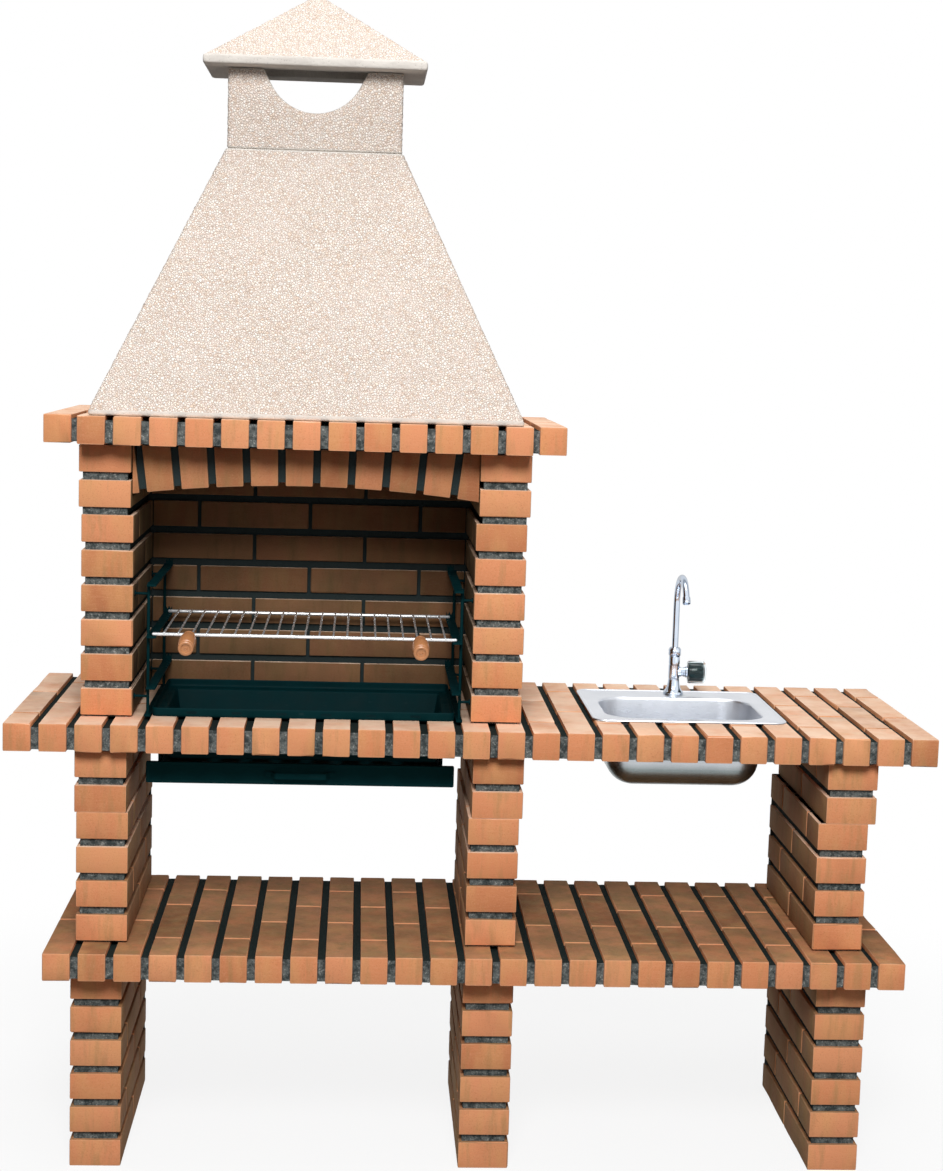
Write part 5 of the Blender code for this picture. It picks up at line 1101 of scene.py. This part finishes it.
def makeHandle(node, start, direction):
    wood = {"length": 0.082, "belly": 0.0165, "neck": 0.0115, "end": 0.0135, "bore": 0.0033, "boreDepth": 0.0526}
    length, belly, neck, end, bore, depth = wood.values()
    points = [(end * size, length - below) for size, below in (
        (0, 0.0026), (0.14, 0.0014), (0.22, 0.0026), (0.56, 0.0022), (0.66, 0.0002), (0.72, 0), (0.90, 0),
        (1.02, 0.0010), (1.06, 0.0030))]
    points += scaled(end, length, (1.06, 0.925), (0.90, 0.908), (0.86, 0.890), (0.92, 0.874), (1.06, 0.862))
    points += scaled(belly, length, (0.95, 0.78), (1, 0.58), (0.94, 0.34))
    points += scaled(neck, length, (1.10, 0.165), (0.97, 0.145), (1.09, 0.12), (1.05, 0.06))
    points += [(neck * 0.86, 0.0006), (bore + 0.001, 0), (bore, 0.0006), (bore, depth), (0, depth)]
    fit(node, lambda bm: turn(bm, points, 40, facingAlong(start, direction)), "wood", "grill", 28)


makeGrill()
print("racks and grill welded")

sink = {"sheet": 0.001, "bead": 0.0025, "corner": 0.028, "bowlForward": 0.018, "bowlX": 0.157, "bowlY": 0.1145,
        "bowlCorner": 0.060, "edge": 0.006, "taper": 0.005, "floorRadius": 0.050, "fall": 0.142, "dish": 0.0025,
        "drain": 0.024, "flange": 0.0337, "tapHole": 0.011, "edgeSteps": 5, "floorSteps": 8, "cornerSteps": 10,
        "rim": ((0.0001, 0), (0.0003, 0.0011), (0.0012, 0.0020), (0.0028, 0.0025), (0.0045, 0.0022), (0.0060, 0.0011),
                (0.0072, 0.0003), (0.0084, 0))}


def makeSink():
    # One pressed sheet: beaded rim, flat deck, deep bowl and a dished floor with the drain hole
    _, high, centre, (halfX, halfY, _) = boxOf("sink_bowl")
    tapAt, deck, bowl = boxOf("tap_backnut")[2], high.z - sink["bead"], centre - Vector((0, sink["bowlForward"], 0))
    bowlX, bowlY, corner, edge, bend, flange = (sink[key] for key in (
        "bowlX", "bowlY", "bowlCorner", "edge", "floorRadius", "flange"))
    floor, rings = deck - sink["fall"], []

    def ring(middle, reachX, reachY, z, rounding):
        rings.append(squareRing(middle, reachX, reachY, z, rounding, sink["cornerSteps"]))

    for inset, rise in sink["rim"]:
        ring(centre, halfX - inset, halfY - inset, deck + rise, sink["corner"] - inset)
    for step in range(sink["edgeSteps"] + 1):
        angle = quarter * step / sink["edgeSteps"]
        grown = edge * (1 - math.sin(angle))
        ring(bowl, bowlX + grown, bowlY + grown, deck - edge * (1 - math.cos(angle)), corner + grown)
    for step in range(sink["floorSteps"] + 1):
        angle = quarter * step / sink["floorSteps"]
        inset = sink["taper"] + bend * (1 - math.cos(angle))
        ring(bowl, bowlX - inset, bowlY - inset, floor + bend * (1 - math.sin(angle)), corner - inset)
    for radius, drop in ((flange * 1.15, 0.0), (flange * 1.06, 0.4), (flange, 1.0), (sink["drain"], 1.0)):
        ring(bowl, radius, radius, floor - sink["dish"] * drop, radius)
    pressed = addShape("pressed", lambda bm: skin(bm, rings[::-1]), "stainless")
    modify(pressed, "SOLIDIFY", thickness=sink["sheet"], offset=-1.0)
    carve(bake(pressed), lambda bm: bored(bm, sink["tapHole"], 0, 0.02, 32, moved(tapAt.x, tapAt.y, deck - 0.01)))
    standFor(pressed, "sink_bowl", smooth=40)


def makeWaste():
    waste = {"tube": 0.0225, "bore": 0.020, "thread": 0.0013, "threadDepth": 0.0005, "lobes": 8, "lobeDepth": 0.0022,
             "nutSteps": 96, "slack": 0.0003}
    low, high, centre, (flange, _, _) = boxOf("waste_fitting")
    tube, bore, pitch, tall = waste["tube"], waste["bore"], waste["thread"], high.z - low.z
    profile = [(bore, 0), (bore, tall - 0.0012), (flange * 0.74, tall - 0.0003), (flange * 0.82, tall),
               (flange * 0.94, tall - 0.0006), (flange, tall - 0.0013), (flange, tall - 0.002), (tube, tall - 0.002)]
    profile += [(tube - ridge % 2 * waste["threadDepth"], tall - 0.0028 - ridge * pitch / 2)
                for ridge in range(int((tall - 0.0036) / pitch * 2))]
    profile += [(tube - 0.0006, 0.0003), (tube - 0.0010, 0)]
    fit("waste_fitting", lambda bm: turn(bm, profile, 48, moved(centre.x, centre.y, low.z), close=True), "stainless")

    nutLow, nutHigh, _, (outer, _, _) = boxOf("waste_nut")
    steps, inner = waste["nutSteps"], tube + waste["slack"]

    def lobed(shrink):
        return lambda s: outer - shrink - (math.cos(waste["lobes"] * math.tau * s / steps) < 0) * waste["lobeDepth"]
    rings = [(lobed(0), nutHigh.z), (lobed(0), nutLow.z + 0.001), (lobed(0.0012), nutLow.z), (inner, nutLow.z),
             (inner, nutHigh.z)]
    fit("waste_nut", lambda bm: turn(bm, rings, steps, moved(centre.x, centre.y, 0), close=True), "white", smooth=30)


def makeStrainer():
    strainer = {"plug": 0.0185, "plugDepth": 0.0035, "knob": 0.005, "holes": 12, "holeRadius": 0.0014,
                "holeCircle": 0.0125}
    low, high, _, (rim, _, _) = boxOf("sink_strainer")
    centre, plug, depth, knob = boxOf("waste_fitting")[2], *(strainer[key] for key in ("plug", "plugDepth", "knob"))
    base, top = low.z + depth, high.z - low.z - depth
    points = [(0, top), (knob * 0.7, top - 0.0002), (knob, top - 0.0012)]
    points += scaled(knob, top, (1, 0.78), (0.8, 0.70), (0.5, 0.62))
    points += [(knob * 0.45, 0.0032), (knob * 0.9, 0.0022), (rim * 0.70, 0.0018), (rim * 0.9, 0.0014), (rim, 0.0004),
               (rim, 0), (plug, 0), (plug - 0.0006, -depth), (0, -depth)]
    basket = addShape("basket", lambda bm: turn(bm, points, 48, moved(centre.x, centre.y, base)), "stainless")

    def holes(bm):
        for spot in circle(strainer["holeCircle"], 0, strainer["holes"], moved(centre.x, centre.y, base - 0.01)):
            bored(bm, strainer["holeRadius"], 0, 0.02, 10, Matrix.Translation(spot))
    standFor(carve(basket, holes), "sink_strainer", "strainer", smooth=35)


tap = {"base": 0.021, "waist": 0.0115, "shank": 0.0103, "thread": 0.0015, "threadDepth": 0.0006, "branch": 0.0100,
       "reach": 0.0115, "spout": 0.0067, "rise": 0.190, "bend": 0.062, "turn": math.radians(152), "bendSteps": 30,
       "tail": 0.005, "socket": 0.010, "slack": 0.0003, "tipRadius": 0.0083, "tipLength": 0.014, "tipLip": 0.0068}


def makeTap():
    low, high, _, _ = boxOf("tap_body")
    nutLow, nutHigh, axis, (nutHalf, _, _) = boxOf("tap_backnut")
    foot, waist, shank, pitch, branch, slack, socket, tail = (tap[key] for key in (
        "base", "waist", "shank", "thread", "branch", "slack", "socket", "tail"))
    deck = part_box("sink_bowl")[1][2] - sink["bead"] + slack
    top, bottom, hole = high.z - deck, low.z - deck, tap["spout"] + slack
    upright = moved(axis.x, axis.y, deck)
    sideways = moved(axis.x, axis.y, boxOf("tap_bonnet")[2].z, quarter, "Y")
    column = [(0, top - socket), (hole, top - socket), (hole, top - 0.0004), (waist * 0.90, top),
              (waist * 0.98, top - 0.0008), (waist, top - 0.002)]
    column += scaled(waist, 1, (1, 0.064), (0.90, 0.0632), (0.90, 0.0622), (1, 0.0614), (1, 0.034), (0.93, 0.0332),
                     (0.93, 0.0322), (1, 0.0312), (1.01, 0.0285), (1.06, 0.0235), (1.16, 0.018), (1.31, 0.0130),
                     (1.50, 0.0090))
    column += scaled(foot, 1, (0.92, 0.0064), (0.985, 0.0050), (1, 0.0040), (1, 0.0008), (0.99, 0))
    column += [(shank, 0)] + [(shank - ridge % 2 * tap["threadDepth"], -0.002 - ridge * pitch)
                              for ridge in range(int((-bottom - 0.002) / pitch))]
    column += [(shank - 0.001, bottom), (0, bottom)]
    reach = waist + tap["reach"]
    arm = [(branch * size, height) for size, height in (
        (0, waist * 0.5), (0.9, waist * 0.5), (1, waist * 0.75), (1, waist + 0.003), (0.88, waist + 0.0040),
        (0.88, reach - 0.0040), (1, reach - 0.0030), (1, reach - 0.0006), (0.94, reach), (0, reach))]

    def build(bm):
        turn(bm, column, 48, upright)
        turn(bm, arm, 40, sideways)
    fit("tap_body", build, "chrome")

    hexagon, place = [point.to_2d() for point in circle(nutHalf, 0, 6)], moved(*axis)
    backnut = addShape("backnut", lambda bm: softPlate(bm, hexagon, nutHigh.z - nutLow.z, place, 0.0008), "chrome")
    standFor(carve(backnut, lambda bm: bored(bm, shank + slack, -0.02, 0.02, 32, place)), "tap_backnut", smooth=35)

    low, high, _, (wide, _, _) = boxOf("spout_nut")
    tall = high.z - low.z
    collar = [(hole, tall - 0.0005), (wide * 0.62, tall), (wide * 0.80, tall - 0.0006)]
    collar += scaled(wide, tall, (0.90, 0.86), (1, 0.76), (1, 0.52), (0.93, 0.49), (0.93, 0.45), (1, 0.42), (1, 0.20),
                     (0.95, 0.10), (0.86, 0)) + [(hole, 0)]
    fit("spout_nut", lambda bm: turn(bm, collar, 48, moved(axis.x, axis.y, low.z), close=True), "chrome")

    start, rise, bend, lean = top - socket + 0.0009, tap["rise"], tap["bend"], tap["turn"]
    points = [(0, 0, start), (0, 0, (start + rise) / 2), (0, 0, rise)]
    points += [(0, -bend + bend * math.cos(lean * step / tap["bendSteps"]),
                rise + bend * math.sin(lean * step / tap["bendSteps"])) for step in range(1, tap["bendSteps"] + 1)]
    heading, end = Vector((0, -math.sin(lean), math.cos(lean))), Vector(points[-1])
    neck = [upright @ Vector(point) for point in (*points, end + heading * tail)]
    fit("tap_spout", lambda bm: sweep(bm, neck, tap["spout"], 24, roundEnds=False), "chrome", "spout")

    outer, length, lip = tap["tipRadius"], tap["tipLength"], tap["tipLip"]
    sleeve = [(0, length * 0.8), (lip, length * 0.8), (lip, length - 0.0004), (outer - 0.0005, length),
              (outer, length - 0.0008)]
    sleeve += [(outer - groove, length * share) for groove, share in (
        (0, 0.78), (0.0004, 0.75), (0.0004, 0.70), (0, 0.67), (0, 0.16))]
    sleeve += [(outer - 0.0004, 0.0004), (outer - 0.0010, 0), (hole, 0), (hole, tail + slack), (0, tail + slack)]
    fit("tap_aerator", lambda bm: turn(bm, sleeve, 40, facingAlong(upright @ end, heading)), "chrome", "spout")
    makeKnob(sideways @ moved(0, 0, reach + slack))


def makeKnob(axis):
    # A dark fluted core inside a clear shell, on the valve's spindle
    knob = {"bonnet": 0.0115, "bonnetLength": 0.006, "stem": 0.004, "stemLength": 0.020, "stemRoot": -0.0094,
            "core": 0.0200, "coreLength": 0.030, "flute": 0.0022, "flutes": 12, "shell": 0.0235, "wall": 0.002,
            "length": 0.037}
    bonnet, stem, shell, slack = knob["bonnet"], knob["stem"], knob["shell"], tap["slack"]
    start, bore, tip, steps = knob["bonnetLength"] + slack, stem + slack, knob["stemLength"], 12 * knob["flutes"]
    ringed = [(bore, start - slack), (bonnet * 0.72, start - slack), (bonnet * 0.84, start - 0.0010),
              (bonnet, start - 0.0026), (bonnet, 0.0006), (bonnet * 0.95, 0), (bore, 0)]
    fit("tap_bonnet", lambda bm: turn(bm, ringed, 40, axis, close=True), "chrome")
    rod = [(0, knob["stemRoot"]), (stem, knob["stemRoot"]), (stem, tip - 0.0005), (stem - 0.0005, tip), (0, tip)]
    fit("tap_spindle", lambda bm: turn(bm, rod, 24, axis), "chrome", "knob")

    def fluted(shrink):
        return lambda s: (knob["core"] - shrink
                          - knob["flute"] * (0.5 - 0.5 * math.cos(knob["flutes"] * math.tau * s / steps)) ** 0.7)
    end = start + knob["coreLength"]
    core = [(bore, tip + slack), (bore, start), (fluted(0.0008), start), (fluted(0.0), start + 0.0008),
            (fluted(0.0), end - 0.0008), (fluted(0.0008), end)]
    fit("tap_knob_core", lambda bm: turn(bm, core, steps, axis, caps=True), "dark", "knob", 30)
    inner, high = shell - knob["wall"], start + knob["length"]
    outside = [(shell * size, high - below) for size, below in (
        (0, 0), (0.45, 0.0002), (0.72, 0.0009), (0.88, 0.0022), (0.97, 0.0042), (1, 0.0065))]
    outside += [(shell, start + 0.0012), (shell - 0.0006, start + 0.0002), (inner + 0.0004, start),
                (inner, start + 0.0004), (inner, end + slack), (0, end + slack)]
    fit("tap_knob_shell", lambda bm: turn(bm, outside, 48, axis), "clear", "knob")


makeSink()
makeWaste()
makeStrainer()
makeTap()
for side in ("left", "right"):
    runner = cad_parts[f"drawer_runner_{side}"]
    runner.data.materials.clear()
    runner.data.materials.append(finish["black"])
print("sink and tap fitted")


def setCamera():
    # Placed by a fit to the photograph's bricks
    view = {"place": (-0.230355, -3.940467, 1.590405), "yaw": -0.0574153, "pitch": -0.1230811, "roll": -0.0296085,
            "lens": 76.679}
    data = bpy.data.cameras.new("camera")
    data.sensor_fit, data.sensor_width, data.lens = "HORIZONTAL", 36.0, view["lens"]
    camera = bpy.data.objects.new("camera", data)
    camera.matrix_world = (moved(*view["place"], view["yaw"], "Z") @ Matrix.Rotation(view["pitch"], 4, "X")
                           @ Matrix.Rotation(view["roll"], 4, "Y") @ Matrix.Rotation(quarter, 4, "X"))
    bpy.context.scene.collection.objects.link(camera)
    bpy.context.scene.camera = camera


def setLight():
    lights = {"key": ((-0.3, -4.6, 4.2), (0, 0, 1.1), 2.2, 292.0), "fill": ((2.6, -4.4, 1.8), (0, 0, 1.0), 3.0, 10.0),
              "top": ((0.2, -0.3, 9.0), (0.2, 0, 0), 4.4, 270.0)}
    for name, (place, target, size, power) in lights.items():
        data = bpy.data.lights.new(name, "AREA")
        data.shape, data.size, data.energy = "DISK", size, power
        lamp = bpy.data.objects.new(name, data)
        lamp.location = place
        lamp.rotation_euler = (Vector(target) - Vector(place)).to_track_quat("-Z", "Y").to_euler()
        bpy.context.scene.collection.objects.link(lamp)
    world = bpy.data.worlds.new("studio")
    world.use_nodes = True
    world.node_tree.nodes.clear()
    sky = Nodes(world.node_tree)
    path = sky.add("ShaderNodeLightPath").outputs
    seen = sky.maths("MAXIMUM", path["Is Camera Ray"],
                     sky.maths("MAXIMUM", path["Is Glossy Ray"], path["Is Transmission Ray"]))
    room, white = (sky.add("ShaderNodeBackground", {"Color": (1, 1, 1, 1), "Strength": strength}).outputs[0]
                   for strength in (0.12, 1.0))
    sky.add("ShaderNodeOutputWorld", {0: sky.add("ShaderNodeMixShader", {0: seen, 1: room, 2: white}).outputs[0]})
    bpy.context.scene.world = world
    bpy.context.scene.view_settings.view_transform = "Standard"


def makeFloor():
    # Pale floor that holds the shadow and fades out into the white backdrop
    floor = {"size": 6.0, "pale": (0.90, 0.90, 0.90, 1), "drop": 0.0005, "fadeFrom": 0.7, "fadeTo": 1.8, "thinnest": 0.86}
    coat = Coat("paleFloor", {"Roughness": 0.9, "Specular IOR Level": 0.1, "Base Color": floor["pale"]})
    reach = coat.add("ShaderNodeVectorMath", {0: coat.vector("MULTIPLY", coat.point, (0.75, 1.0, 0))}, operation="LENGTH")
    fade = coat.add("ShaderNodeMapRange", {
        "Value": reach.outputs["Value"], "From Min": floor["fadeFrom"], "From Max": floor["fadeTo"],
        "To Min": floor["thinnest"], "To Max": 1.0}, interpolation_type="SMOOTHSTEP")
    clear = coat.add("ShaderNodeBsdfTransparent")
    mixed = coat.add("ShaderNodeMixShader", {0: fade.outputs["Result"], 1: coat.tree.nodes["Principled BSDF"].outputs[0],
                                             2: clear.outputs[0]})
    coat.tree.links.new(mixed.outputs[0], coat.tree.nodes["Material Output"].inputs["Surface"])
    obj = addShape("floor", lambda bm: bmesh.ops.create_grid(bm, x_segments=2, y_segments=2, size=floor["size"]))
    obj.data.materials.append(coat.material)
    obj.location = (0, 0, -floor["drop"])


setCamera()
setLight()
makeFloor()
print("camera and light set")

bpy.data.objects.remove(unit)
